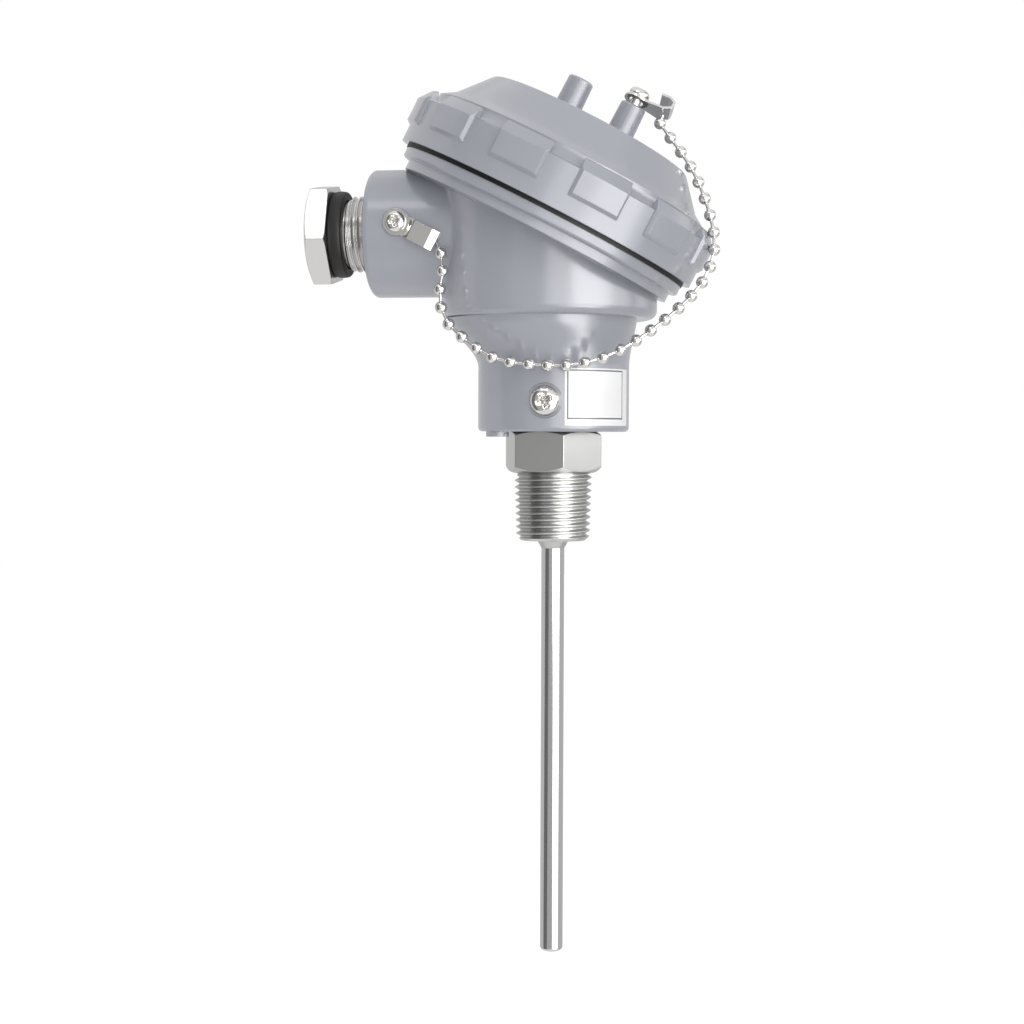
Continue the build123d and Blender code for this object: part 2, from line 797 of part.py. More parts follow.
# Ball chain: every bead has a flat at each pole, where the link pins seat
with BuildPart() as bead:
    for height, radius in (
        (-bead_flat, bead_pole_radius),
        (-bead_waist, bead_waist_radius),
        (bead_waist, bead_waist_radius),
        (bead_flat, bead_pole_radius),
    ):
        with BuildSketch(Plane.XY.offset(height)):
            RegularPolygon(radius, bead_sides)
    loft(ruled=True)
boss_tab_end = boss_tab_foot.from_local_coords(Vector(*boss_pin_foot))
cap_tab_end = cap_tab_foot.from_local_coords(Vector(*cap_pin_foot))
chain_route = [boss_tab_end + Vector(*offset) for offset in chain_from_boss]
for place, clear, rise in chain_round_neck:
    chain_route.append(Vector(place, -neck_radius - clear, neck_top + rise))
for out, turn, up in chain_past_cap:
    reach = cap_skirt_radius + out
    chain_route.append(seat_point(reach * cos(radians(turn)), reach * sin(radians(turn)), up))
chain_route += [post_top.from_local_coords(Vector(*offset)) for offset in chain_to_post]
chain_line = Spline(*chain_route)
bead_planes = [
    Plane(
        origin=chain_line.position_at(count / (bead_count - 1)),
        z_dir=chain_line.tangent_at(count / (bead_count - 1)),
    )
    for count in range(bead_count)
]
chain_beads = Compound(children=[bead.part.moved(place.location) for place in bead_planes])
save(chain_beads, "chain_beads")


def link_pin(start, end):
    """Pin between two points."""
    direction = (end - start).normalized()
    with BuildPart() as pin:
        with BuildSketch(Plane(origin=start, z_dir=direction)):
            RegularPolygon(link_radius, link_sides)
        extrude(amount=(end - start).length)
    return pin.part


pins = []
reach = bead_flat + link_gap
for before, after in zip(bead_planes[:-1], bead_planes[1:]):
    pins.append(link_pin(before.origin + before.z_dir * reach, after.origin - after.z_dir * reach))
for tab_end, bead_place in ((boss_tab_end, bead_planes[0]), (cap_tab_end, bead_planes[-1])):
    outwards = (tab_end - bead_place.origin).normalized()
    pins.append(link_pin(tab_end, bead_place.origin + outwards * (bead_radius + link_gap)))
save(Compound(children=pins), "chain_links")
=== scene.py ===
"""Dresses a temperature probe with a slanted connection head in its real finishes.

Sizes are in millimetres in the dataclass fields and metres in the meshes. The frame is the part's
own: origin at the hexagon's lower shoulder, +Z up through the head, -X out of the cable entry.
"""

import logging
import math
from collections.abc import Callable, Iterator
from contextlib import contextmanager
from dataclasses import dataclass, field
from enum import Enum

import bmesh
import bpy
from mathutils import Matrix, Vector


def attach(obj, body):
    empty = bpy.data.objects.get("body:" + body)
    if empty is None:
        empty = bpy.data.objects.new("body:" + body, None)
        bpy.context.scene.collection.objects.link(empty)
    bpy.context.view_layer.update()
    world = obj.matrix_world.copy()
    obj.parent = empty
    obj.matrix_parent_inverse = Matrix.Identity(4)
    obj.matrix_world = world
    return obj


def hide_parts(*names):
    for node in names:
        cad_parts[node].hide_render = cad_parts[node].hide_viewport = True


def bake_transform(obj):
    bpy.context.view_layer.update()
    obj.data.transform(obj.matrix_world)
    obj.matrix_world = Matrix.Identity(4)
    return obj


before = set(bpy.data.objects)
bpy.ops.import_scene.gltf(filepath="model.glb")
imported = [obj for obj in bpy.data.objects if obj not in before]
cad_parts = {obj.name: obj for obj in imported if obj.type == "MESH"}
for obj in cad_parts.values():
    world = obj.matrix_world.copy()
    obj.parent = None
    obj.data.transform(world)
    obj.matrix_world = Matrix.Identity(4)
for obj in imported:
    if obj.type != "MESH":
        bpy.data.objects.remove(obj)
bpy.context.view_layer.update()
LOG = logging.getLogger("probe")

Point = tuple[float, float, float]
Fit = Callable[[Vector], Vector]
Tree = bpy.types.NodeTree
Node = bpy.types.Node
Socket = bpy.types.NodeSocket
Mesh = bpy.types.Mesh
Piece = bpy.types.Object

MM = 0.001
# Vertices nearer than this are one, in a solid's loose triangles and in a mesh that is built here
SOLID_MERGE_M = 1e-6
BUILT_MERGE_M = 2e-6
# Angle from which an edge stays sharp, on a solid's copy, a thread or ring, and a screw's head
SHARP_DEGREES = 30.0
THREAD_SHARP_DEGREES = 50.0
SCREW_SHARP_DEGREES = 70.0
# How far off a plain surface a vertex still counts as one of its own
REACH_MM = 0.1
# How far short of a solid's end face a thread stops
INSET_MM = 0.02
WIDE_THREAD_COLUMNS = 144
# An axis with more of y than this is framed with the help of x
NEARLY_Y = 0.9
# The values between which a noise pattern is spread over a finish
PATTERN_LOW = 0.1
PATTERN_HIGH = 0.9
LEAST_ROUGHNESS = 0.02
BEVEL_SAMPLES = 6
# Colour sockets of the mixing node: its two inputs and its result
MIX_FIRST, MIX_SECOND, MIX_RESULT = 6, 7, 2
UNSTRETCHED = (1.0, 1.0, 1.0)
WHITE = "FFFFFF"


def linear(hex_colour: str) -> tuple[float, float, float, float]:
    """Turns an sRGB hex colour to linear red, green, blue and alpha.

    Args:
        hex_colour: Six hex digits, with or without a leading hash.

    Returns:
        The linear colour with alpha 1.
    """
    digits = hex_colour.lstrip("#")
    parts = []
    for start in (0, 2, 4):
        value = int(digits[start : start + 2], 16) / 255
        # The sRGB curve, with its straight piece near black
        parts.append(value / 12.92 if value <= 0.04045 else ((value + 0.055) / 1.055) ** 2.4)
    return (parts[0], parts[1], parts[2], 1.0)


def clamped(value: float, low: float = 0.0, high: float = 1.0) -> float:
    """Keeps a value between two limits."""
    return min(max(value, low), high)


def around(reach: float, turn: float, along: float) -> Vector:
    """Finds the point at a distance and an angle round the z axis and at a height along it."""
    return Vector((reach * math.cos(turn), reach * math.sin(turn), along))


def basis(x: Vector, y: Vector, z: Vector) -> Matrix:
    """Gives the turn that has these three directions as its axes."""
    return Matrix((x, y, z)).transposed().to_4x4()


def add_node(
    tree: Tree, kind: str, links: dict[str | int, Socket] | None = None, **settings: object
) -> Node:
    """Adds a node with its settings and links.

    Args:
        tree: The tree that gets the node.
        kind: The node's type name.
        links: Sockets to link from, by the new node's input name or number.
        settings: Attributes to set, or input values where the name starts with "in_" and a number
            or a name with underscores for its spaces follows.

    Returns:
        The new node.
    """
    node = tree.nodes.new(kind)
    for name, value in settings.items():
        if name.startswith("in_"):
            key = name.removeprefix("in_")
            node.inputs[int(key) if key.isdigit() else key.replace("_", " ")].default_value = value
        else:
            setattr(node, name, value)
    for key, socket in (links or {}).items():
        tree.links.new(socket, node.inputs[key])
    return node


def linked(name: str, data: bpy.types.ID) -> Piece:
    """Makes an object and links it to the scene.

    Args:
        name: The object's name.
        data: Its mesh, light or camera.

    Returns:
        The object.
    """
    made = bpy.data.objects.new(name, data)
    bpy.context.scene.collection.objects.link(made)
    return made


@contextmanager
def opened(mesh: Mesh) -> Iterator[bmesh.types.BMesh]:
    """Opens a mesh for editing and writes it back where the block ends.

    Args:
        mesh: The mesh.

    Yields:
        Its editable form.
    """
    shell = bmesh.new()
    shell.from_mesh(mesh)
    yield shell
    shell.to_mesh(mesh)
    shell.free()


class Surface(Enum):
    """How a metal's surface was made, which sets the direction and depth of its marks."""

    DRAWN = "drawn along the axis"
    TURNED = "turned round the axis"
    PLATED = "plated over a turned part"


@dataclass(frozen=True)
class Finish:
    """What every finish has: a name, a colour, a roughness and the round that its edges show."""

    name: str
    colour: str
    roughness: float
    edge_mm: float = 0.0

    def material(self) -> bpy.types.Material:
        """Builds the material once and finds it from then on.

        Returns:
            The material.
        """
        known = bpy.data.materials.get(self.name)
        if known:
            return known
        made = bpy.data.materials.new(self.name)
        made.use_nodes = True
        tree = made.node_tree
        shader = tree.nodes["Principled BSDF"]
        shader.inputs["Base Color"].default_value = linear(self.colour)
        shader.inputs["Roughness"].default_value = self.roughness
        made.diffuse_color = linear(self.colour)
        self.dress(tree, shader)
        return made

    def dress(self, tree: Tree, shader: Node) -> None:
        """Adds what is special to this finish to the plain shader."""

    def relief(self, tree: Tree, shader: Node, height: Socket, depth_mm: float) -> None:
        """Links a height pattern, over the softened edges, to the shader's normal.

        Args:
            tree: The material's tree.
            shader: The Principled shader.
            height: The pattern, from 0 to 1.
            depth_mm: The real depth of the pattern.
        """
        bump = add_node(
            tree,
            "ShaderNodeBump",
            {"Height": height},
            in_Strength=1.0,
            in_Distance=depth_mm * MM,
        )
        if self.edge_mm:
            soft = add_node(
                tree, "ShaderNodeBevel", samples=BEVEL_SAMPLES, in_Radius=self.edge_mm * MM
            )
            tree.links.new(soft.outputs["Normal"], bump.inputs["Normal"])
        tree.links.new(bump.outputs["Normal"], shader.inputs["Normal"])

    def noise(self, tree: Tree, size_mm: float, stretch: Point, detail: float) -> Socket:
        """Adds a noise pattern of a real size.

        Args:
            tree: The material's tree.
            size_mm: The pattern's grain.
            stretch: Scale along each axis, below 1 where the marks run long.
            detail: Octaves of the noise.

        Returns:
            The pattern, from 0 to 1.
        """
        place = add_node(tree, "ShaderNodeTexCoord")
        turn = add_node(
            tree, "ShaderNodeMapping", {"Vector": place.outputs["Object"]}, in_Scale=stretch
        )
        grain = add_node(
            tree,
            "ShaderNodeTexNoise",
            {"Vector": turn.outputs["Vector"]},
            in_Scale=1 / (size_mm * MM),
            in_Detail=detail,
            in_Roughness=0.5,
        )
        return grain.outputs["Fac"]

    def uneven(
        self, tree: Tree, shader: Node, pattern: Socket, spread: float, shade: float
    ) -> None:
        """Lets the roughness and the colour vary a little with a pattern.

        Args:
            tree: The material's tree.
            shader: The Principled shader.
            pattern: The pattern, from 0 to 1.
            spread: How far the roughness varies to each side.
            shade: How much darker the darkest places are, as a share.
        """
        rough = add_node(
            tree,
            "ShaderNodeMapRange",
            {"Value": pattern},
            in_From_Min=PATTERN_LOW,
            in_From_Max=PATTERN_HIGH,
            in_To_Min=max(self.roughness - spread, LEAST_ROUGHNESS),
            in_To_Max=self.roughness + spread,
        )
        tree.links.new(rough.outputs["Result"], shader.inputs["Roughness"])
        full = linear(self.colour)
        dull = (full[0] * (1 - shade), full[1] * (1 - shade), full[2] * (1 - shade), 1.0)
        ramp = add_node(tree, "ShaderNodeValToRGB", {"Fac": pattern})
        darkest, lightest = ramp.color_ramp.elements
        darkest.position, darkest.color = PATTERN_LOW, dull
        lightest.position, lightest.color = PATTERN_HIGH, full
        tree.links.new(ramp.outputs["Color"], shader.inputs["Base Color"])


@dataclass(frozen=True)
class Enamel(Finish):
    """Stoved enamel sprayed on a casting: smooth and glossy, faintly wavy from the spray."""

    peel_mm: float = 3.5
    peel_depth_mm: float = 0.01
    coat: float = 0.8
    coat_roughness: float = 0.22
    broad_peels: float = 6.0
    spread: float = 0.03
    shade: float = 0.03

    def dress(self, tree: Tree, shader: Node) -> None:
        """Adds the clear top film, the slow waves and the faintly uneven gloss.

        Args:
            tree: The material's tree.
            shader: The Principled shader.
        """
        shader.inputs["Coat Weight"].default_value = self.coat
        shader.inputs["Coat Roughness"].default_value = self.coat_roughness
        waves = self.noise(tree, self.peel_mm, UNSTRETCHED, detail=1.0)
        broad = self.noise(tree, self.peel_mm * self.broad_peels, UNSTRETCHED, detail=2.0)
        self.uneven(tree, shader, broad, self.spread, self.shade)
        self.relief(tree, shader, waves, self.peel_depth_mm)


@dataclass(frozen=True)
class Metal(Finish):
    """Bare or plated metal with fine marks from the tool that made its surface."""

    surface: Surface = Surface.TURNED
    mark_mm: float = 0.25
    mark_depth_mm: float = 0.0012
    along: float = 0.02
    plated: float = 0.3
    broad_marks: float = 30.0
    spread: float = 0.02
    shade: float = 0.03

    def dress(self, tree: Tree, shader: Node) -> None:
        """Makes the shader a metal and stretches fine noise along the tool's direction.

        Args:
            tree: The material's tree.
            shader: The Principled shader.
        """
        shader.inputs["Metallic"].default_value = 1.0
        stretch = {
            Surface.DRAWN: (1.0, 1.0, self.along),
            Surface.TURNED: (self.along, self.along, 1.0),
            Surface.PLATED: (self.plated, self.plated, self.plated),
        }[self.surface]
        marks = self.noise(tree, self.mark_mm, stretch, detail=2.0)
        dulled = self.noise(tree, self.mark_mm * self.broad_marks, UNSTRETCHED, detail=3.0)
        self.uneven(tree, shader, dulled, self.spread, self.shade)
        self.relief(tree, shader, marks, self.mark_depth_mm)


@dataclass(frozen=True)
class Moulded(Finish):
    """Rubber, resin, ceramic or wire insulation: dull, with a fine grain."""

    grain_mm: float = 0.4
    grain_depth_mm: float = 0.008
    broad_grains: float = 12.0
    spread: float = 0.06
    shade: float = 0.12

    def dress(self, tree: Tree, shader: Node) -> None:
        """Adds the fine grain of a mould or of fired clay.

        Args:
            tree: The material's tree.
            shader: The Principled shader.
        """
        grain = self.noise(tree, self.grain_mm, UNSTRETCHED, detail=2.0)
        broad = self.noise(tree, self.grain_mm * self.broad_grains, UNSTRETCHED, detail=2.0)
        self.uneven(tree, shader, broad, self.spread, self.shade)
        self.relief(tree, shader, grain, self.grain_depth_mm)


@dataclass(frozen=True)
class PrintedLabel(Finish):
    """White film label with a thin dark printed frame, laid out on the label's own UV map."""

    ink: str = "55565C"
    coat: float = 0.3
    width_mm: float = 23.1
    height_mm: float = 15.2
    frame_left_mm: float = 0.8
    frame_right_mm: float = 19.7
    frame_bottom_mm: float = 1.9
    frame_top_mm: float = 14.6
    line_mm: float = 0.38

    def dress(self, tree: Tree, shader: Node) -> None:
        """Draws the frame as a band along the edge of a rectangle.

        Args:
            tree: The material's tree.
            shader: The Principled shader.
        """
        shader.inputs["Coat Weight"].default_value = self.coat
        place = add_node(tree, "ShaderNodeUVMap")
        axes = add_node(tree, "ShaderNodeSeparateXYZ", {0: place.outputs["UV"]})
        sides = (self.frame_left_mm, self.frame_right_mm)
        across = self.outside(tree, axes.outputs["X"], self.width_mm, *sides)
        ends = (self.frame_bottom_mm, self.frame_top_mm)
        upwards = self.outside(tree, axes.outputs["Y"], self.height_mm, *ends)
        nearest = add_node(tree, "ShaderNodeMath", {0: across, 1: upwards}, operation="MAXIMUM")
        band = add_node(
            tree,
            "ShaderNodeMath",
            {0: nearest.outputs[0]},
            operation="COMPARE",
            in_1=0.0,
            in_2=self.line_mm / 2,
        )
        mix = add_node(tree, "ShaderNodeMix", {0: band.outputs[0]}, data_type="RGBA")
        mix.inputs[MIX_FIRST].default_value = linear(self.colour)
        mix.inputs[MIX_SECOND].default_value = linear(self.ink)
        tree.links.new(mix.outputs[MIX_RESULT], shader.inputs["Base Color"])

    def outside(
        self, tree: Tree, share: Socket, size_mm: float, low_mm: float, high_mm: float
    ) -> Socket:
        """Adds the distance past the nearer of two lines, in millimetres.

        Args:
            tree: The material's tree.
            share: Position along the label, from 0 to 1.
            size_mm: The label's size that way.
            low_mm: The lower line's place.
            high_mm: The upper line's place.

        Returns:
            A socket that is below 0 between the lines and above 0 outside them.
        """
        middle = (low_mm + high_mm) / 2
        value = share
        for operation, settings in (
            ("MULTIPLY", {"in_1": size_mm}),
            ("SUBTRACT", {"in_1": middle}),
            ("ABSOLUTE", {}),
            ("SUBTRACT", {"in_1": high_mm - middle}),
        ):
            step = add_node(tree, "ShaderNodeMath", {0: value}, operation=operation, **settings)
            value = step.outputs[0]
        return value


# Stoved enamel over cast aluminium: a smooth, even, cool grey with soft but clear highlights
GREY_ENAMEL = Enamel("stoved grey enamel", "A0A2AB", 0.24, 0.45)
# Drawn stainless tube: long fine lines that spread its reflections sideways
STAINLESS_TUBE = Metal(
    "drawn stainless steel", "CFCFCF", 0.13, surface=Surface.DRAWN, mark_depth_mm=0.0006
)
# Turned stainless bar: rings round the axis and a satin grey
STAINLESS_BAR = Metal(
    "turned stainless steel",
    "C4C4C2",
    0.24,
    0.2,
    surface=Surface.TURNED,
    mark_mm=0.3,
    mark_depth_mm=0.0008,
)
# Bright nickel over brass: almost a mirror, a little warm
BRIGHT_NICKEL = Metal(
    "bright nickel plate", "DAD8D5", 0.12, 0.15, surface=Surface.PLATED, mark_depth_mm=0.0005
)
# Nickel on the big gland hexagon: satin from its turning, with broad soft reflections
SATIN_NICKEL = Metal("satin nickel plate", "D2D0CE", 0.22, 0.3, surface=Surface.PLATED)
# Zinc-plated steel screws: duller and cooler than nickel
ZINC_STEEL = Metal("zinc-plated steel", "BFC1C4", 0.25, 0.15, surface=Surface.PLATED)
# Extruded brass, milled: warm yellow with visible cutter marks
MILLED_BRASS = Metal("milled brass", "C9A45C", 0.28, 0.15, surface=Surface.TURNED)
# Moulded nitrile rubber: black with a dull sheen
BLACK_RUBBER = Moulded("black nitrile rubber", "0D0D0F", 0.55, 0.2)
# Fired steatite: off-white, slightly rough
CERAMIC = Moulded("fired steatite", "E9E4D6", 0.45, 0.3)
# Poured epoxy: black and fairly glossy
RESIN = Moulded("black epoxy", "1B1B1C", 0.35, grain_depth_mm=0.002)
# Extruded insulation on the lead wires: smooth and slightly glossy
RED_WIRE = Moulded("red wire insulation", "A8221E", 0.4, grain_depth_mm=0.002)
WHITE_WIRE = Moulded("white wire insulation", "E6E5E0", 0.4, grain_depth_mm=0.002)
# Printed film: white, smooth, with a thin dark frame and nothing in it
LABEL_FILM = PrintedLabel("white label film", "F1F1F2", 0.35)


def mesh_object(
    name: str, mesh: Mesh, finish: Finish, sharp_degrees: float = SHARP_DEGREES
) -> Piece:
    """Makes a finished piece from a mesh, smooth except at its sharp edges.

    Args:
        name: The piece's name.
        mesh: Its mesh, in metres and in the part's frame.
        finish: Its finish.
        sharp_degrees: The angle from which an edge stays sharp.

    Returns:
        The object, linked to the scene.
    """
    mesh.name = name
    mesh.materials.clear()
    mesh.materials.append(finish.material())
    mesh.shade_smooth()
    mesh.set_sharp_from_angle(angle=math.radians(sharp_degrees))
    return linked(name, mesh)


def settle(piece: Piece) -> Piece:
    """Turns a piece's live modifiers into its plain mesh.

    Args:
        piece: The object with modifiers.

    Returns:
        The same object without them.
    """
    graph = bpy.context.evaluated_depsgraph_get()
    final = bpy.data.meshes.new_from_object(piece.evaluated_get(graph), depsgraph=graph)
    piece.modifiers.clear()
    piece.data = final
    return piece


def solid_mesh(node: str, fit: Fit | None = None) -> Mesh:
    """Copies a CAD node's mesh and joins its loose triangles.

    Args:
        node: The CAD node's name.
        fit: Moves each vertex, where detail of the scene takes the place of a plain surface.

    Returns:
        A merged copy.
    """
    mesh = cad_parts[node].data.copy()
    with opened(mesh) as shell:
        bmesh.ops.remove_doubles(shell, verts=shell.verts, dist=SOLID_MERGE_M)
        if fit:
            for vertex in shell.verts:
                vertex.co = fit(vertex.co)
    if "custom_normal" in mesh.attributes:
        mesh.attributes.remove(mesh.attributes["custom_normal"])
    return mesh


def seated(piece: Piece, slot: str, body: str, *nodes: str) -> Piece:
    """Rides a piece on its body and reports it.

    Args:
        piece: The finished piece.
        slot: Not used.
        body: The CAD body that it moves with.
        nodes: The CAD nodes that it stands for.

    Returns:
        The piece.
    """
    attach(piece, body)
    if nodes:
        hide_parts(*nodes)
    LOG.info("%s: %d faces, rides on %s", piece.name, len(piece.data.polygons), body)
    return piece


def dressed(node: str, finish: Finish, slot: str, body: str, fit: Fit | None = None) -> Piece:
    """Stands a smooth, finished copy in a CAD node's place.

    Args:
        node: The CAD node.
        finish: The copy's finish.
        slot: Not used; it is handed on to seated, which ignores it.
        body: The CAD body that it moves with.
        fit: Moves each vertex, where detail of the scene takes the place of a plain surface.

    Returns:
        The copy.
    """
    piece = mesh_object(f"{node}_dressed", solid_mesh(node, fit), finish)
    weights = piece.modifiers.new("even normals", "WEIGHTED_NORMAL")
    weights.keep_sharp = True
    settle(piece)
    return seated(piece, slot, body, node)


def closed_mesh(
    name: str, points: list[Vector], faces: list[tuple[int, ...]], frame_matrix: Matrix
) -> Mesh:
    """Joins points and faces to a closed mesh with its normals outwards.

    Args:
        name: The mesh's name.
        points: Corners in millimetres, in a frame of their own.
        faces: Corner numbers of each face.
        frame_matrix: Turns and moves that frame into the part's, in millimetres.

    Returns:
        The mesh, in metres and in the part's frame.
    """
    mesh = bpy.data.meshes.new(name)
    mesh.from_pydata([(frame_matrix @ point) * MM for point in points], [], faces)
    with opened(mesh) as shell:
        bmesh.ops.remove_doubles(shell, verts=shell.verts, dist=BUILT_MERGE_M)
        bmesh.ops.recalc_face_normals(shell, faces=shell.faces)
    return mesh


def axis_frame(origin: Point, along: Vector) -> Matrix:
    """Gives a frame whose z runs along an axis.

    Args:
        origin: The frame's origin in millimetres.
        along: The direction of its z.

    Returns:
        The matrix from that frame to the part's.
    """
    z = along.normalized()
    side = Vector((0.0, 1.0, 0.0)) if abs(z.y) < NEARLY_Y else Vector((1.0, 0.0, 0.0))
    x = side.cross(z).normalized()
    return Matrix.Translation(Vector(origin)) @ basis(x, z.cross(x), z)


FRONT = Vector((0.0, -1.0, 0.0))
SEAT_TILT = math.radians(27.1)
SEAT_AXIS = Vector((math.sin(SEAT_TILT), 0.0, math.cos(SEAT_TILT)))
SEAT_FRAME = axis_frame((-2.6, 0.0, 70.45), SEAT_AXIS)
BOSS_FRAME = axis_frame((0.0, 0.0, 66.3), Vector((-1.0, 0.0, 0.0)))
NIPPLE_FRAME = axis_frame((0.0, 0.0, 0.0), Vector((0.0, 0.0, 1.0)))


def radial_fit(
    frame_matrix: Matrix,
    low_mm: float,
    high_mm: float,
    near_mm: float,
    far_mm: float,
    to_mm: float,
) -> Fit:
    """Makes a fit that moves one band of a turned surface in or out, to make room for a thread.

    Args:
        frame_matrix: The frame of the thread's axis.
        low_mm: Where the band starts along the axis.
        high_mm: Where it ends.
        near_mm: The least distance from the axis of what moves.
        far_mm: The greatest one.
        to_mm: The radius that it moves to.

    Returns:
        The fit.
    """
    back = frame_matrix.inverted()

    def fit(point: Vector) -> Vector:
        """Moves one vertex.

        Args:
            point: Its place in the part's frame, in metres.

        Returns:
            Its new place, or the same one outside the band.
        """
        place = back @ (point / MM)
        reach = math.hypot(place.x, place.y)
        if not (low_mm <= place.z <= high_mm and near_mm <= reach <= far_mm):
            return point
        share = to_mm / reach
        return (frame_matrix @ Vector((place.x * share, place.y * share, place.z))) * MM

    return fit


@dataclass(frozen=True)
class ScrewThread:
    """A right-hand thread as one closed ring of mesh round an axis, with a hidden back wall."""

    name: str
    frame_matrix: Matrix
    crest_mm: float
    depth_mm: float
    pitch_mm: float
    low_mm: float
    high_mm: float
    back_mm: float
    taper: float = 0.0
    low_lead_mm: float = 0.8
    high_lead_mm: float = 0.8
    columns: int = 96
    rows_per_pitch: int = 14
    flat: float = 0.12

    def radius(self, along: float, phase: float) -> float:
        """Finds the surface's distance from the axis.

        Args:
            along: Place along the axis in millimetres.
            phase: Place in the profile, from 0 at a root to 1 at the next.

        Returns:
            The radius in millimetres.
        """
        slope = 1 - abs(2 * phase - 1)
        rise = clamped((slope - self.flat) / (1 - 2 * self.flat))
        sign = 1.0 if self.back_mm < self.crest_mm else -1.0
        low_end = self.low_lead_mm - (along - self.low_mm)
        high_end = self.high_lead_mm - (self.high_mm - along)
        deep = clamped(self.depth_mm * (1 - rise), max(low_end, high_end, 0.0), self.depth_mm)
        return self.crest_mm + self.taper * (along - self.high_mm) - sign * deep

    def mesh(self) -> Mesh:
        """Builds the thread.

        Returns:
            The closed mesh in the part's frame.
        """
        turns = math.ceil((self.high_mm - self.low_mm) / self.pitch_mm) + 1
        rows = turns * self.rows_per_pitch + 1
        points = []
        for column in range(self.columns):
            turn = column / self.columns
            out = around(1.0, math.tau * turn, 0.0)
            for row in range(rows):
                along = self.low_mm + self.pitch_mm * (turn - 1 + row / self.rows_per_pitch)
                along = clamped(along, self.low_mm, self.high_mm)
                phase = ((along - self.low_mm) / self.pitch_mm - turn) % 1.0
                points.append(out * self.radius(along, phase) + Vector((0.0, 0.0, along)))
            points.append(out * self.back_mm + Vector((0.0, 0.0, self.low_mm)))
            points.append(out * self.back_mm + Vector((0.0, 0.0, self.high_mm)))
        tall = rows + 2
        faces = []
        for column in range(self.columns):
            following = (column + 1) % self.columns
            # Where the ring closes, the rows meet the ones a pitch further on
            skip = self.rows_per_pitch if following == 0 else 0
            here, there = column * tall, following * tall
            for row in range(rows - 1):
                low, high = min(row + skip, rows - 1), min(row + 1 + skip, rows - 1)
                faces.append((here + row, there + low, there + high, here + row + 1))
            faces.append((here, here + rows, there + rows, there))
            faces.append((here + rows - 1, there + rows - 1, there + rows + 1, here + rows + 1))
            faces.append((here + rows, here + rows + 1, there + rows + 1, there + rows))
        return closed_mesh(self.name, points, faces, self.frame_matrix)

    def build(self, finish: Finish, slot: str, body: str) -> Piece:
        """Builds the thread, gives it a finish and seats it on a body."""
        piece = mesh_object(self.name, self.mesh(), finish, THREAD_SHARP_DEGREES)
        return seated(piece, slot, body)


@dataclass(frozen=True)
class PanHeadScrew:
    """A pan head screw with a cross recess pressed into its head."""

    head_mm: float
    height_mm: float
    shank_mm: float
    grip_mm: float
    turn_degrees: float = 0.0
    dome_power: int = 5
    dome_fall: float = 0.12
    arm: float = 0.56
    arm_width: float = 0.13
    soft: float = 0.14
    recess: float = 0.55
    segments: int = 128
    rings: int = 44

    def height(self, x: float, y: float) -> float:
        """Finds the head's height over a point.

        Args:
            x: The point's place to the side, as a share of the head's radius.
            y: Its place upwards, the same way.

        Returns:
            The height in millimetres.
        """
        reach = min(math.hypot(x, y), 1.0)
        dome = math.sqrt(max(1 - reach**self.dome_power, 0.0)) * (1 - self.dome_fall * reach**2)
        turn = math.radians(self.turn_degrees)
        u = abs(x * math.cos(turn) + y * math.sin(turn))
        v = abs(y * math.cos(turn) - x * math.sin(turn))
        depth = 0.0
        for across, along in ((u, v), (v, u)):
            side = clamped((self.arm_width - across) / self.soft + 0.5)
            tip = clamped((self.arm - along) / (2 * self.soft))
            depth = max(depth, side * tip)
        return self.height_mm * (dome - self.recess * depth)

    def mesh(self, name: str, frame_matrix: Matrix) -> Mesh:
        """Builds the screw with the underside of its head at the frame's origin.

        Args:
            name: The mesh's name.
            frame_matrix: The frame, its z out of the head.

        Returns:
            The closed mesh.
        """
        turns = [math.tau * step / self.segments for step in range(self.segments)]
        points = [Vector((0.0, 0.0, self.height(0.0, 0.0)))]
        for ring in range(1, self.rings + 1):
            share = math.sin(math.pi / 2 * ring / self.rings)
            for turn in turns:
                x, y = share * math.cos(turn), share * math.sin(turn)
                points.append(Vector((x * self.head_mm, y * self.head_mm, self.height(x, y))))
        for level in (0.0, -self.grip_mm):
            points += [around(self.shank_mm, turn, level) for turn in turns]
        points.append(Vector((0.0, 0.0, -self.grip_mm)))
        faces = []
        for step in range(self.segments):
            following = (step + 1) % self.segments
            faces.append((0, 1 + step, 1 + following))
            for ring in range(self.rings + 1):
                low, high = 1 + ring * self.segments, 1 + (ring + 1) * self.segments
                faces.append((low + step, high + step, high + following, low + following))
            last = 1 + (self.rings + 1) * self.segments
            faces.append((last + step, len(points) - 1, last + following))
        return closed_mesh(name, points, faces, frame_matrix)


@dataclass(frozen=True)
class TurnedRing:
    """A ring turned from a closed profile, given as radius and place along the axis."""

    name: str
    frame_matrix: Matrix
    profile: tuple[tuple[float, float], ...]
    columns: int = 96

    def mesh(self) -> Mesh:
        """Turns the profile round the axis.

        Returns:
            The closed mesh in the part's frame.
        """
        points, faces = [], []
        corners = len(self.profile)
        for column in range(self.columns):
            turn = math.tau * column / self.columns
            points += [around(reach, turn, along) for reach, along in self.profile]
            here, there = column * corners, (column + 1) % self.columns * corners
            for corner in range(corners):
                after = (corner + 1) % corners
                faces.append((here + corner, there + corner, there + after, here + after))
        return closed_mesh(self.name, points, faces, self.frame_matrix)


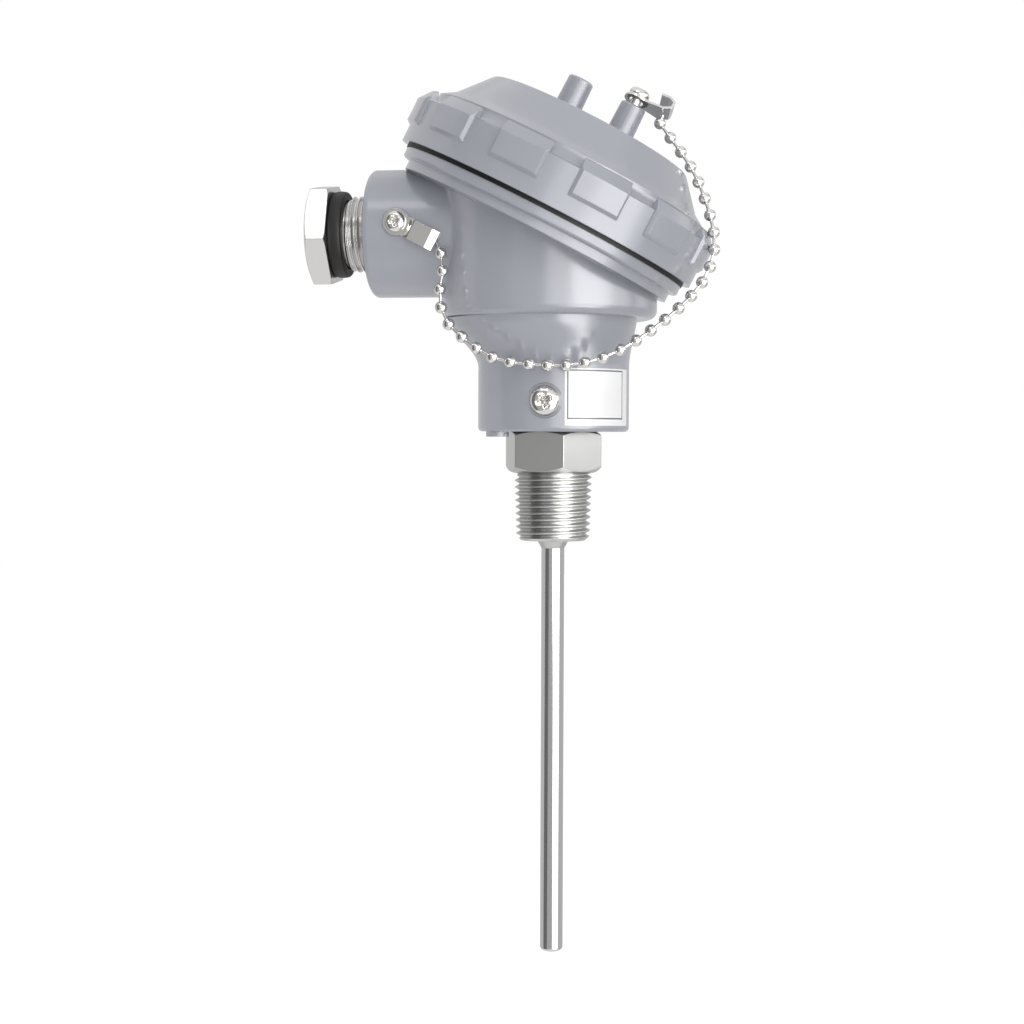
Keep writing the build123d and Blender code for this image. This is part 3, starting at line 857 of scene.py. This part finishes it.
@dataclass
class NodeRig:
    """A small builder for Geometry Nodes trees with named inputs."""

    name: str
    inputs: dict[str, tuple[str, object]]
    tree: Tree = field(init=False)
    entry: Node = field(init=False)

    def __post_init__(self) -> None:
        """Makes the tree with its geometry socket at each end and its named inputs."""
        self.tree = bpy.data.node_groups.new(self.name, "GeometryNodeTree")
        sockets = self.tree.interface
        sockets.new_socket("Geometry", in_out="INPUT", socket_type="NodeSocketGeometry")
        for label, (kind, _) in self.inputs.items():
            sockets.new_socket(label, in_out="INPUT", socket_type=kind)
        sockets.new_socket("Geometry", in_out="OUTPUT", socket_type="NodeSocketGeometry")
        self.entry = self.tree.nodes.new("NodeGroupInput")

    def close(self, result: Socket) -> None:
        """Ends the tree in real, smooth mesh with its material.

        Args:
            result: The instances or mesh to give out.
        """
        real = add_node(self.tree, "GeometryNodeRealizeInstances", {"Geometry": result})
        shade = add_node(
            self.tree,
            "GeometryNodeSetShadeSmooth",
            {"Geometry": real.outputs[0]},
            in_Shade_Smooth=True,
        )
        coated = add_node(
            self.tree,
            "GeometryNodeSetMaterial",
            {"Geometry": shade.outputs[0], "Material": self.entry.outputs["Material"]},
        )
        add_node(self.tree, "NodeGroupOutput", {0: coated.outputs[0]})

    def run(self, name: str, places: list[Vector], joined: bool) -> Piece:
        """Runs the tree on a row of points and keeps its result as a plain mesh.

        Args:
            name: The piece's name.
            places: The points in millimetres.
            joined: Whether the points are joined to a line.

        Returns:
            The object, with no modifier left.
        """
        mesh = bpy.data.meshes.new(name)
        edges = [(number, number + 1) for number in range(len(places) - 1)] if joined else []
        mesh.from_pydata([place * MM for place in places], edges, [])
        piece = linked(name, mesh)
        rig = piece.modifiers.new(self.name, "NODES")
        rig.node_group = self.tree
        for item in self.tree.interface.items_tree:
            if item.in_out == "INPUT" and item.name in self.inputs:
                rig[item.identifier] = self.inputs[item.name][1]
        return settle(piece)


@dataclass
class InnerParts:
    """Everything inside: terminal block, element, insulation, wires, grommet."""

    body: str = "head"
    middle_mm: float = -1.3
    terminal_top_mm: float = 59.8
    block_top_mm: float = 55.0
    terminal_spread_mm: tuple[float, float] = (12.0, 5.5)
    screw_spread_mm: float = 2.8
    block_screw_mm: float = 16.5
    terminal_screw: PanHeadScrew = PanHeadScrew(2.3, 1.6, 1.2, 3.4, segments=48, rings=20)
    block_screw: PanHeadScrew = PanHeadScrew(3.4, 2.2, 1.95, 11.7, segments=64, rings=24)
    terminal_seed: int = 5
    block_seed: int = 9
    screw_turn: float = 6.28

    def build(self) -> None:
        """Dresses each inner piece from its solid and sets the screws."""
        for node, finish, slot in (
            ("sensing_element", CERAMIC, "white_ceramic"),
            ("conductors", BRIGHT_NICKEL, "nickel_plated"),
            ("insulation_core", CERAMIC, "white_ceramic"),
            ("sheath_seal", RESIN, "sealing_resin"),
            ("lead_wires_red", RED_WIRE, "red_insulation"),
            ("lead_wire_white", WHITE_WIRE, "white_insulation"),
            ("terminal_block", CERAMIC, "white_ceramic"),
            ("terminals", MILLED_BRASS, "brass"),
            ("grommet_washer", STAINLESS_BAR, "stainless"),
            ("cable_grommet", BLACK_RUBBER, "black_rubber"),
        ):
            dressed(node, finish, slot, self.body)
        spread_x, spread_y = self.terminal_spread_mm
        terminal_places = []
        for side in (1, -1):
            for row in (1, -1):
                for end in (1, -1):
                    x = self.middle_mm + side * spread_x + end * self.screw_spread_mm
                    terminal_places.append(Vector((x, row * spread_y, self.terminal_top_mm)))
        self.screws(
            "terminal_screws", self.terminal_screw, terminal_places, self.terminal_seed
        )
        block_places = [
            Vector((self.middle_mm, side * self.block_screw_mm, self.block_top_mm))
            for side in (1, -1)
        ]
        self.screws("block_screws", self.block_screw, block_places, self.block_seed)

    def screws(self, node: str, screw: PanHeadScrew, places: list[Vector], seed: int) -> None:
        """Sets one screw on each place, each turned by its own angle.

        Args:
            node: The CAD node that they stand for.
            screw: The screw.
            places: Where the undersides of the heads sit.
            seed: Fixes the angles.
        """
        pattern_name = f"{node}_pattern"
        pattern = bpy.data.objects.new(
            pattern_name, screw.mesh(pattern_name, Matrix.Identity(4))
        )
        rig = NodeRig(
            f"{node} on their places",
            {
                "Screw": ("NodeSocketObject", pattern),
                "Seed": ("NodeSocketInt", seed),
                "Material": ("NodeSocketMaterial", ZINC_STEEL.material()),
            },
        )
        tree, entry = rig.tree, rig.entry
        points = add_node(
            tree, "GeometryNodeMeshToPoints", {"Mesh": entry.outputs["Geometry"]}
        )
        held = add_node(tree, "GeometryNodeObjectInfo", {"Object": entry.outputs["Screw"]})
        # Inputs 2 and 3 are the least and the greatest angle, output 1 is the drawn one
        angle = add_node(
            tree,
            "FunctionNodeRandomValue",
            {"Seed": entry.outputs["Seed"]},
            data_type="FLOAT",
            in_2=0.0,
            in_3=self.screw_turn,
        )
        turn = add_node(tree, "ShaderNodeCombineXYZ", {"Z": angle.outputs[1]})
        copies = add_node(
            tree,
            "GeometryNodeInstanceOnPoints",
            {
                "Points": points.outputs[0],
                "Instance": held.outputs["Geometry"],
                "Rotation": turn.outputs[0],
            },
        )
        rig.close(copies.outputs[0])
        piece = rig.run(f"{node}_dressed", places, joined=False)
        piece.data.set_sharp_from_angle(angle=math.radians(SCREW_SHARP_DEGREES))
        bpy.data.objects.remove(pattern)
        seated(piece, "nickel_plated", self.body, node)


@dataclass
class BlankLabel:
    """A thin film label wrapped on the neck, with a printed frame and nothing in it."""

    radius_mm: float = 20.7
    thickness_mm: float = 0.14
    sunk_mm: float = 0.05
    start_degrees: float = -75.3
    end_degrees: float = -12.0
    bottom_mm: float = 13.4
    top_mm: float = 28.6
    columns: int = 48

    def build(self, body: str) -> None:
        """Wraps the label and lays out its UV map.

        Args:
            body: The CAD body that it moves with.
        """
        span = self.end_degrees - self.start_degrees
        points, faces = [], []
        for column in range(self.columns + 1):
            turn = math.radians(self.start_degrees + span * (column / self.columns))
            for reach in (self.radius_mm - self.sunk_mm, self.radius_mm + self.thickness_mm):
                for level in (self.bottom_mm, self.top_mm):
                    points.append(around(reach, turn, level))
        for column in range(self.columns):
            here, there = column * 4, column * 4 + 4
            for first, second in ((0, 1), (1, 3), (3, 2), (2, 0)):
                faces.append((here + first, there + first, there + second, here + second))
        last = self.columns * 4
        faces += [(0, 1, 3, 2), (last, last + 2, last + 3, last + 1)]
        mesh = closed_mesh("neck_label", points, faces, Matrix.Identity(4))
        layout = mesh.uv_layers.new(name="label")
        for loop in mesh.loops:
            place = mesh.vertices[loop.vertex_index].co / MM
            turn = math.degrees(math.atan2(place.y, place.x))
            across = (turn - self.start_degrees) / span
            upwards = (place.z - self.bottom_mm) / (self.top_mm - self.bottom_mm)
            layout.data[loop.index].uv = (across, upwards)
        seated(mesh_object("neck_label", mesh, LABEL_FILM), "white_insulation", body)


@dataclass
class CastHead:
    """The head casting with its neck, funnel, bowl, boss and slanted mouth."""

    body: str = "head"
    collar_mm: float = 39.3
    collar_round_mm: float = 0.6
    collar_foot_mm: float = -0.4
    collar_top_mm: float = 10.5
    thread_depth_mm: float = 1.1
    thread_pitch_mm: float = 3.0
    thread_low_mm: float = 0.9
    wall_gap_mm: float = 0.2
    overlap_mm: float = 0.5
    neck_screw_mm: Point = (0.0, -20.2, 20.0)
    neck_screw: PanHeadScrew = PanHeadScrew(4.1, 2.5, 2.4, 8.0, turn_degrees=24.0)

    def build(self) -> None:
        """Dresses the casting, cuts the collar's thread and adds the neck screw and the label."""
        root = self.collar_mm - self.thread_depth_mm - self.wall_gap_mm
        room = radial_fit(
            SEAT_FRAME,
            self.collar_foot_mm,
            self.collar_top_mm + REACH_MM,
            self.collar_mm - self.collar_round_mm,
            self.collar_mm + REACH_MM,
            root,
        )
        dressed("head_body", GREY_ENAMEL, "grey_enamel", self.body, room)
        ScrewThread(
            "collar_thread",
            SEAT_FRAME,
            self.collar_mm,
            self.thread_depth_mm,
            self.thread_pitch_mm,
            self.thread_low_mm,
            self.collar_top_mm - INSET_MM,
            root - self.overlap_mm,
            columns=WIDE_THREAD_COLUMNS,
        ).build(GREY_ENAMEL, "grey_enamel", self.body)
        mesh = self.neck_screw.mesh("neck_screw", axis_frame(self.neck_screw_mm, FRONT))
        screw = mesh_object("neck_screw_dressed", mesh, BRIGHT_NICKEL, SCREW_SHARP_DEGREES)
        seated(screw, "nickel_plated", self.body, "neck_screw")
        BlankLabel().build(self.body)


@dataclass
class ScrewCap:
    """The cap with its inner thread, and its gasket."""

    body: str = "cap"
    bore_mm: float = 39.6
    bore_low_mm: float = 0.7
    bore_high_mm: float = 11.3
    thread_depth_mm: float = 1.1
    thread_pitch_mm: float = 3.0
    thread_low_mm: float = 0.82
    thread_high_mm: float = 11.1
    wall_gap_mm: float = 0.3
    overlap_mm: float = 0.5

    def build(self) -> None:
        """Dresses the cap, cuts its thread, and dresses the gasket that rises with it."""
        root = self.bore_mm + self.thread_depth_mm + self.wall_gap_mm
        room = radial_fit(
            SEAT_FRAME,
            self.bore_low_mm,
            self.bore_high_mm,
            self.bore_mm - REACH_MM,
            self.bore_mm + REACH_MM,
            root,
        )
        dressed("cap", GREY_ENAMEL, "grey_enamel", self.body, room)
        ScrewThread(
            "cap_thread",
            SEAT_FRAME,
            self.bore_mm,
            self.thread_depth_mm,
            self.thread_pitch_mm,
            self.thread_low_mm,
            self.thread_high_mm,
            root + self.overlap_mm,
            columns=WIDE_THREAD_COLUMNS,
        ).build(GREY_ENAMEL, "grey_enamel", self.body)
        dressed("cap_gasket", BLACK_RUBBER, "black_rubber", "cap_seal")


@dataclass
class ProcessConnection:
    """Nipple with its taper pipe thread, and the sheath."""

    body: str = "head"
    crest_mm: float = 10.67
    depth_mm: float = 1.2
    pitch_mm: float = 1.8143
    length_mm: float = 18.0
    taper: float = 1 / 32
    band_mm: tuple[float, float] = (8.5, 11.0)
    band_end_mm: float = 0.01
    thread_end_mm: float = 0.03
    thread_high_mm: float = 0.35
    wall_gap_mm: float = 0.15
    overlap_mm: float = 0.6

    def build(self) -> None:
        """Dresses the nipple and the sheath and cuts the thread."""
        root = self.crest_mm - self.taper * self.length_mm - self.depth_mm
        room = radial_fit(
            NIPPLE_FRAME,
            -self.length_mm - self.band_end_mm,
            self.band_end_mm,
            *self.band_mm,
            root - self.wall_gap_mm,
        )
        dressed("process_nipple", STAINLESS_BAR, "stainless", self.body, room)
        ScrewThread(
            "process_thread_dressed",
            NIPPLE_FRAME,
            self.crest_mm,
            self.depth_mm,
            self.pitch_mm,
            self.thread_end_mm - self.length_mm,
            self.thread_high_mm,
            root - self.overlap_mm,
            taper=self.taper,
            low_lead_mm=1.2,
            high_lead_mm=1.1,
        ).build(STAINLESS_BAR, "stainless", self.body)
        dressed("sheath", STAINLESS_TUBE, "stainless", self.body)


@dataclass
class CableGland:
    """Gland screw with its thread, and its sealing ring."""

    body: str = "gland"
    crest_mm: float = 10.45
    depth_mm: float = 1.1
    pitch_mm: float = 1.8143
    tip_mm: float = 45.3
    face_mm: float = 57.3
    neck_mm: float = 0.6
    wall_gap_mm: float = 0.2
    overlap_mm: float = 0.7
    ring_back_mm: float = 61.0
    ring_bore_mm: float = 9.5
    ring_outer_mm: float = 11.9
    ring_bulge_mm: float = 0.9
    ring_steps: int = 12

    def build(self) -> None:
        """Dresses the gland screw, cuts its thread and turns the rubber ring."""
        root = self.crest_mm - self.depth_mm
        room = radial_fit(
            BOSS_FRAME,
            self.tip_mm - REACH_MM,
            self.face_mm - REACH_MM,
            root - REACH_MM,
            self.crest_mm + REACH_MM,
            root - self.wall_gap_mm,
        )
        dressed("gland_screw", SATIN_NICKEL, "nickel_plated", self.body, room)
        ScrewThread(
            "gland_thread",
            BOSS_FRAME,
            self.crest_mm,
            self.depth_mm,
            self.pitch_mm,
            self.tip_mm + INSET_MM,
            self.face_mm - self.neck_mm,
            root - self.overlap_mm,
            low_lead_mm=1.1,
            high_lead_mm=1.1,
        ).build(SATIN_NICKEL, "nickel_plated", self.body)
        ring = TurnedRing("gland_ring_dressed", BOSS_FRAME, self.ring_profile())
        piece = mesh_object(ring.name, ring.mesh(), BLACK_RUBBER, THREAD_SHARP_DEGREES)
        seated(piece, "black_rubber", "gland_seal", "gland_ring")

    def ring_profile(self) -> tuple[tuple[float, float], ...]:
        """Draws the ring's section, flat at its ends and in its bore and bulged outwards.

        Returns:
            Its corners as radius and place along the axis, in millimetres.
        """
        low, high = self.face_mm, self.ring_back_mm
        shoulder = self.ring_outer_mm - self.ring_bulge_mm
        profile = [(self.ring_bore_mm, low), (shoulder, low)]
        for step in range(1, self.ring_steps):
            turn = math.pi * step / self.ring_steps
            bulge = self.ring_bulge_mm * math.sin(turn) ** 0.5
            profile.append((shoulder + bulge, low + (high - low) * (1 - math.cos(turn)) / 2))
        return (*profile, (shoulder, high), (self.ring_bore_mm, high))


@dataclass
class CapChain:
    """Ball chain with its two tabs and screws."""

    bead_mm: float = 1.62
    bead_segments: int = 28
    bead_rings: int = 16
    link_mm: float = 0.42
    link_sides: int = 12
    boss_end_mm: Point = (-29.45, -18.15, 62.02)
    cap_end_mm: Point = (29.42, -0.03, 97.46)
    bend_start_mm: Point = (-12.0, -22.0, 34.0)
    bend_end_mm: Point = (46.4, -22.0, 63.2)
    boss_screw_mm: Point = (-40.5, -18.4, 67.65)
    cap_screw_mm: Point = (22.969, 0.0, 102.86)
    screw: PanHeadScrew = PanHeadScrew(2.9, 1.9, 1.45, 5.2, turn_degrees=12.0)
    tab_foot_mm: Point = (22.16, 0.0, 101.278)
    tab_roll: float = 17.0
    tab_twist: float = -10.0
    twist_start_mm: float = 3.2
    twist_length_mm: float = 3.6
    twist_steps: int = 8

    def centres(self) -> list[Vector]:
        """Reads the middle of each bead off the CAD beads, in order from the boss.

        Returns:
            The middles in millimetres.
        """
        middles = []
        with opened(solid_mesh("chain_beads")) as shell:
            left = dict.fromkeys(shell.verts)
            while left:
                bead = [left.popitem()[0]]
                # The list grows while it is read, until no vertex of this bead is left
                for vertex in bead:
                    for edge in vertex.link_edges:
                        other = edge.other_vert(vertex)
                        if other in left:
                            del left[other]
                            bead.append(other)
                middles.append(sum((vertex.co for vertex in bead), Vector()) / len(bead) / MM)
        ordered, last = [], Vector(self.boss_end_mm)
        while middles:
            last = min(middles, key=lambda middle: (middle - last).length)
            middles.remove(last)
            ordered.append(last)
        return ordered

    def chain(self) -> Piece:
        """Strings the beads on their pins with a node tree.

        Returns:
            The chain as one plain mesh.
        """
        places = [Vector(self.boss_end_mm), *self.centres(), Vector(self.cap_end_mm)]
        rig = NodeRig(
            "ball chain",
            {
                "Bead Radius": ("NodeSocketFloat", self.bead_mm * MM),
                "Link Radius": ("NodeSocketFloat", self.link_mm * MM),
                "Bead Count": ("NodeSocketInt", len(places) - 2),
                "Material": ("NodeSocketMaterial", BRIGHT_NICKEL.material()),
            },
        )
        tree, entry = rig.tree, rig.entry
        line = add_node(tree, "GeometryNodeMeshToCurve", {"Mesh": entry.outputs["Geometry"]})
        points = add_node(
            tree, "GeometryNodeCurveToPoints", {"Curve": line.outputs[0]}, mode="EVALUATED"
        )
        ball = add_node(
            tree,
            "GeometryNodeMeshUVSphere",
            {"Radius": entry.outputs["Bead Radius"]},
            in_Segments=self.bead_segments,
            in_Rings=self.bead_rings,
        )
        beads = add_node(
            tree,
            "GeometryNodeInstanceOnPoints",
            {
                "Points": points.outputs["Points"],
                "Selection": self.between_ends(tree, entry.outputs["Bead Count"]),
                "Instance": ball.outputs["Mesh"],
                "Rotation": points.outputs["Rotation"],
            },
        )
        round_pin = add_node(
            tree,
            "GeometryNodeCurvePrimitiveCircle",
            {"Radius": entry.outputs["Link Radius"]},
            in_Resolution=self.link_sides,
        )
        pins = add_node(
            tree,
            "GeometryNodeCurveToMesh",
            {"Curve": line.outputs[0], "Profile Curve": round_pin.outputs["Curve"]},
            in_Fill_Caps=True,
        )
        both = add_node(tree, "GeometryNodeJoinGeometry", {0: beads.outputs[0]})
        tree.links.new(pins.outputs[0], both.inputs[0])
        rig.close(both.outputs[0])
        return rig.run("ball_chain", places, joined=True)

    @staticmethod
    def between_ends(tree: Tree, count: Socket) -> Socket:
        """Adds the test for the points that carry a bead, all but the line's first and last.

        Args:
            tree: The chain's tree.
            count: The number of beads.

        Returns:
            A socket that is true on those points.
        """
        number = add_node(tree, "GeometryNodeInputIndex")
        # Inputs 2 and 3 are the two whole numbers that are compared
        after = add_node(
            tree,
            "FunctionNodeCompare",
            {2: number.outputs[0]},
            data_type="INT",
            operation="GREATER_THAN",
            in_3=0,
        )
        before = add_node(
            tree,
            "FunctionNodeCompare",
            {2: number.outputs[0], 3: count},
            data_type="INT",
            operation="LESS_EQUAL",
        )
        among = add_node(
            tree,
            "FunctionNodeBooleanMath",
            {0: after.outputs[0], 1: before.outputs[0]},
            operation="AND",
        )
        return among.outputs[0]

    def twisted_tab(self) -> Piece:
        """Twists the cap's tab towards the front past its eye, as it is bent by hand.

        Returns:
            The tab.
        """
        long_way = Vector((math.cos(SEAT_TILT), 0.0, -math.sin(SEAT_TILT)))
        roll = math.radians(self.tab_roll)
        upwards = SEAT_AXIS * math.cos(roll) + Vector((0.0, math.sin(roll), 0.0))
        turn = basis(long_way, upwards.cross(long_way), upwards)
        foot = Matrix.Translation(Vector(self.tab_foot_mm)) @ turn
        back = foot.inverted()
        mesh = solid_mesh("chain_tab_cap")
        with opened(mesh) as shell:
            for cut in range(1, self.twist_steps):
                along = self.twist_start_mm + self.twist_length_mm * cut / self.twist_steps
                place = foot @ Vector((along, 0.0, 0.0))
                everything = [*shell.verts, *shell.edges, *shell.faces]
                bmesh.ops.bisect_plane(
                    shell, geom=everything, plane_co=place * MM, plane_no=long_way
                )
            for vertex in shell.verts:
                place = back @ (vertex.co / MM)
                share = clamped((place.x - self.twist_start_mm) / self.twist_length_mm)
                twist = Matrix.Rotation(math.radians(self.tab_twist) * share, 4, "X")
                vertex.co = (foot @ twist @ place) * MM
        return mesh_object("chain_tab_cap_dressed", mesh, BRIGHT_NICKEL)

    def build(self) -> None:
        """Builds the chain, the tabs and the screws."""
        chain = self.chain()
        bend_start = Vector(self.bend_start_mm) * MM
        bend_end = Vector(self.bend_end_mm) * MM
        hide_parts("chain_beads", "chain_links")
        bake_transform(chain)
        LOG.info("%s: %d faces, bends from head to cap_seal", chain.name, len(chain.data.polygons))
        dressed("chain_tab_boss", BRIGHT_NICKEL, "nickel_plated", "head")
        seated(self.twisted_tab(), "nickel_plated", "cap", "chain_tab_cap")
        for node, place, along, body in (
            ("chain_screw_boss", self.boss_screw_mm, FRONT, "head"),
            ("chain_screw_cap", self.cap_screw_mm, SEAT_AXIS, "cap"),
        ):
            mesh = self.screw.mesh(node, axis_frame(place, along))
            screw = mesh_object(f"{node}_dressed", mesh, BRIGHT_NICKEL, SCREW_SHARP_DEGREES)
            seated(screw, "nickel_plated", body, node)


@dataclass
class PhotoCamera:
    """The photograph's point of view, in the part's frame."""

    target_mm: Point = (-11.41, 0.0, -10.41)
    distance_mm: float = 501.13
    yaw: float = 7.83
    pitch: float = 2.5
    roll: float = 0.18
    focal_px: float = 1813.0
    image_px: float = 1024.0
    sensor_mm: float = 36.0
    nearest_m: float = 0.01
    furthest_m: float = 20.0

    def build(self) -> None:
        """Places the camera and makes it the scene's own."""
        yaw, pitch = math.radians(self.yaw), math.radians(self.pitch)
        level = math.cos(pitch)
        back = Vector((math.sin(yaw) * level, -math.cos(yaw) * level, math.sin(pitch)))
        turn = Matrix.Rotation(math.radians(self.roll), 3, back)
        right = turn @ Vector((math.cos(yaw), math.sin(yaw), 0.0))
        lens = bpy.data.cameras.new("photo camera")
        lens.lens = self.focal_px / self.image_px * self.sensor_mm
        lens.sensor_width = self.sensor_mm
        lens.sensor_fit = "HORIZONTAL"
        lens.clip_start = self.nearest_m
        lens.clip_end = self.furthest_m
        holder = linked("photo camera", lens)
        place = (Vector(self.target_mm) + back * self.distance_mm) * MM
        holder.matrix_world = Matrix.Translation(place) @ basis(right, back.cross(right), back)
        bpy.context.scene.camera = holder


@dataclass
class SoftLight:
    """One rectangular soft box that faces a point of the part."""

    name: str
    bearing: float
    elevation: float
    away_mm: float
    size_mm: tuple[float, float]
    radiance: float
    mirrored: bool = True
    aim_mm: Point = (0.0, 0.0, 30.0)

    def build(self) -> None:
        """Places the light and turns it to its aim; its bearing is 0 in front, 90 on the right."""
        lamp = bpy.data.lights.new(self.name, "AREA")
        lamp.shape = "RECTANGLE"
        lamp.size, lamp.size_y = self.size_mm[0] * MM, self.size_mm[1] * MM
        lamp.energy = self.radiance * math.pi * lamp.size * lamp.size_y
        turn, rise = math.radians(self.bearing), math.radians(self.elevation)
        level = math.cos(rise)
        out = Vector((math.sin(turn) * level, -math.cos(turn) * level, math.sin(rise)))
        place = (Vector(self.aim_mm) + out * self.away_mm) * MM
        facing = (-out).to_track_quat("-Z", "Y").to_matrix().to_4x4()
        holder = linked(self.name, lamp)
        holder.matrix_world = Matrix.Translation(place) @ facing
        holder.visible_glossy = self.mirrored


@dataclass
class GreyCurtain:
    """An upright grey screen that shows in reflections and in nothing else."""

    start: float
    end: float
    level: float
    reach_mm: float = 1500.0
    bottom_mm: float = -1500.0
    top_mm: float = 1500.0
    columns: int = 16

    def build(self) -> None:
        """Hangs the curtain; its bearings are 0 in front and 90 on the right."""
        points, faces = [], []
        for column in range(self.columns + 1):
            turn = math.radians(self.start + (self.end - self.start) * column / self.columns)
            x, y = self.reach_mm * math.sin(turn), -self.reach_mm * math.cos(turn)
            points += [(x * MM, y * MM, self.bottom_mm * MM), (x * MM, y * MM, self.top_mm * MM)]
        for column in range(self.columns):
            first = column * 2
            faces.append((first, first + 2, first + 3, first + 1))
        mesh = bpy.data.meshes.new("curtain")
        mesh.from_pydata(points, [], faces)
        cloth = bpy.data.materials.new(f"grey curtain {self.level}")
        cloth.use_nodes = True
        tree = cloth.node_tree
        tree.nodes.clear()
        glow = add_node(
            tree, "ShaderNodeEmission", in_Color=linear(WHITE), in_Strength=self.level
        )
        add_node(tree, "ShaderNodeOutputMaterial", {"Surface": glow.outputs[0]})
        mesh.materials.append(cloth)
        screen = linked("curtain", mesh)
        screen.visible_camera = False
        screen.visible_diffuse = False
        screen.visible_shadow = False
        screen.visible_transmission = False
        screen.visible_volume_scatter = False


@dataclass
class Studio:
    """Pale floor, white surroundings, soft boxes and grey curtains."""

    floor_mm: float = -262.0
    floor_size_mm: float = 6000.0
    floor_colour: str = "F2F2F2"
    floor_glow: float = 0.45
    surround_fill: float = 0.72
    lights: tuple[SoftLight, ...] = (
        SoftLight("key soft box", 46.0, 4.0, 900.0, (900.0, 880.0), 0.8, mirrored=False),
        SoftLight("front soft box", 6.0, -4.0, 1000.0, (1200.0, 900.0), 0.6, mirrored=False),
        SoftLight("top soft box", -8.0, 47.0, 1100.0, (500.0, 260.0), 2.2),
    )
    curtains: tuple[GreyCurtain, ...] = (
        GreyCurtain(-180.0, -78.0, 0.7),
        GreyCurtain(-78.0, -36.0, 0.2),
        GreyCurtain(-36.0, 4.0, 0.55),
        GreyCurtain(4.0, 15.0, 0.55, 1500.0, -1500.0, -200.0),
        GreyCurtain(4.0, 30.0, 3.0, 1500.0, -200.0, 600.0),
        GreyCurtain(15.0, 30.0, 3.0, 1500.0, -800.0, -200.0),
        GreyCurtain(30.0, 66.0, 8.0, 1500.0, -1150.0, -560.0),
        GreyCurtain(30.0, 66.0, 5.5, 1500.0, -560.0, 60.0),
        GreyCurtain(30.0, 66.0, 7.2, 1500.0, 60.0, 600.0),
        GreyCurtain(66.0, 76.0, 2.5, 1500.0, -800.0, 60.0),
        GreyCurtain(66.0, 76.0, 6.0, 1500.0, 60.0, 600.0),
        GreyCurtain(76.0, 96.0, 3.2, 1450.0, 60.0, 600.0),
        GreyCurtain(96.0, 130.0, 1.6, 1450.0, 60.0, 600.0),
        GreyCurtain(76.0, 180.0, 0.65),
        GreyCurtain(-14.0, 28.0, 1.6, 1400.0, -1230.0, -1000.0),
    )

    def build(self) -> None:
        """Builds the surroundings, the floor, the lights and the curtains."""
        bpy.context.scene.view_settings.view_transform = "Standard"
        self.surround()
        self.floor()
        for light in self.lights:
            light.build()
        for curtain in self.curtains:
            curtain.build()

    def surround(self) -> None:
        """Makes the surroundings white to the eye and in reflections, and a plain fill besides."""
        world = bpy.data.worlds.new("studio")
        bpy.context.scene.world = world
        world.use_nodes = True
        tree = world.node_tree
        tree.nodes.clear()
        seen = self.seen_directly(tree)
        fill, white = (
            add_node(tree, "ShaderNodeBackground", in_Color=linear(WHITE), in_Strength=strength)
            for strength in (self.surround_fill, 1.0)
        )
        both = add_node(
            tree, "ShaderNodeMixShader", {0: seen, 1: fill.outputs[0], 2: white.outputs[0]}
        )
        add_node(tree, "ShaderNodeOutputWorld", {"Surface": both.outputs[0]})

    @staticmethod
    def seen_directly(tree: Tree) -> Socket:
        """Adds the test for camera, glossy and transmission rays.

        Args:
            tree: The tree that gets the nodes.

        Returns:
            A socket that is 1 for such rays and 0 for others.
        """
        rays = add_node(tree, "ShaderNodeLightPath")
        seen = rays.outputs["Is Camera Ray"]
        for kind in ("Is Glossy Ray", "Is Transmission Ray"):
            either = add_node(
                tree, "ShaderNodeMath", {0: seen, 1: rays.outputs[kind]}, operation="MAXIMUM"
            )
            seen = either.outputs[0]
        return seen

    def floor(self) -> None:
        """Lays the floor, which glows just enough to look white and still takes a shadow."""
        half = self.floor_size_mm / 2 * MM
        level = self.floor_mm * MM
        mesh = bpy.data.meshes.new("floor")
        corners = ((-half, -half), (half, -half), (half, half), (-half, half))
        mesh.from_pydata([(x, y, level) for x, y in corners], [], [(0, 1, 2, 3)])
        paper = bpy.data.materials.new("white paper")
        paper.use_nodes = True
        tree = paper.node_tree
        tree.nodes.clear()
        seen = self.seen_directly(tree)
        matt = add_node(tree, "ShaderNodeBsdfDiffuse", in_Color=linear(self.floor_colour))
        glow = add_node(
            tree, "ShaderNodeEmission", in_Color=linear(WHITE), in_Strength=self.floor_glow
        )
        lit = add_node(tree, "ShaderNodeAddShader", {0: matt.outputs[0], 1: glow.outputs[0]})
        both = add_node(
            tree, "ShaderNodeMixShader", {0: seen, 1: matt.outputs[0], 2: lit.outputs[0]}
        )
        add_node(tree, "ShaderNodeOutputMaterial", {"Surface": both.outputs[0]})
        mesh.materials.append(paper)
        sheet = linked("floor", mesh)
        sheet.visible_glossy = False


def main() -> None:
    """Builds every sub-assembly in order, then the studio, and notes the sizes."""
    logging.basicConfig(level=logging.INFO, format="%(message)s")
    for assembly in (
        InnerParts(),
        CastHead(),
        ScrewCap(),
        ProcessConnection(),
        CableGland(),
        CapChain(),
    ):
        assembly.build()
    PhotoCamera().build()
    Studio().build()


if __name__ == "__main__":
    main()
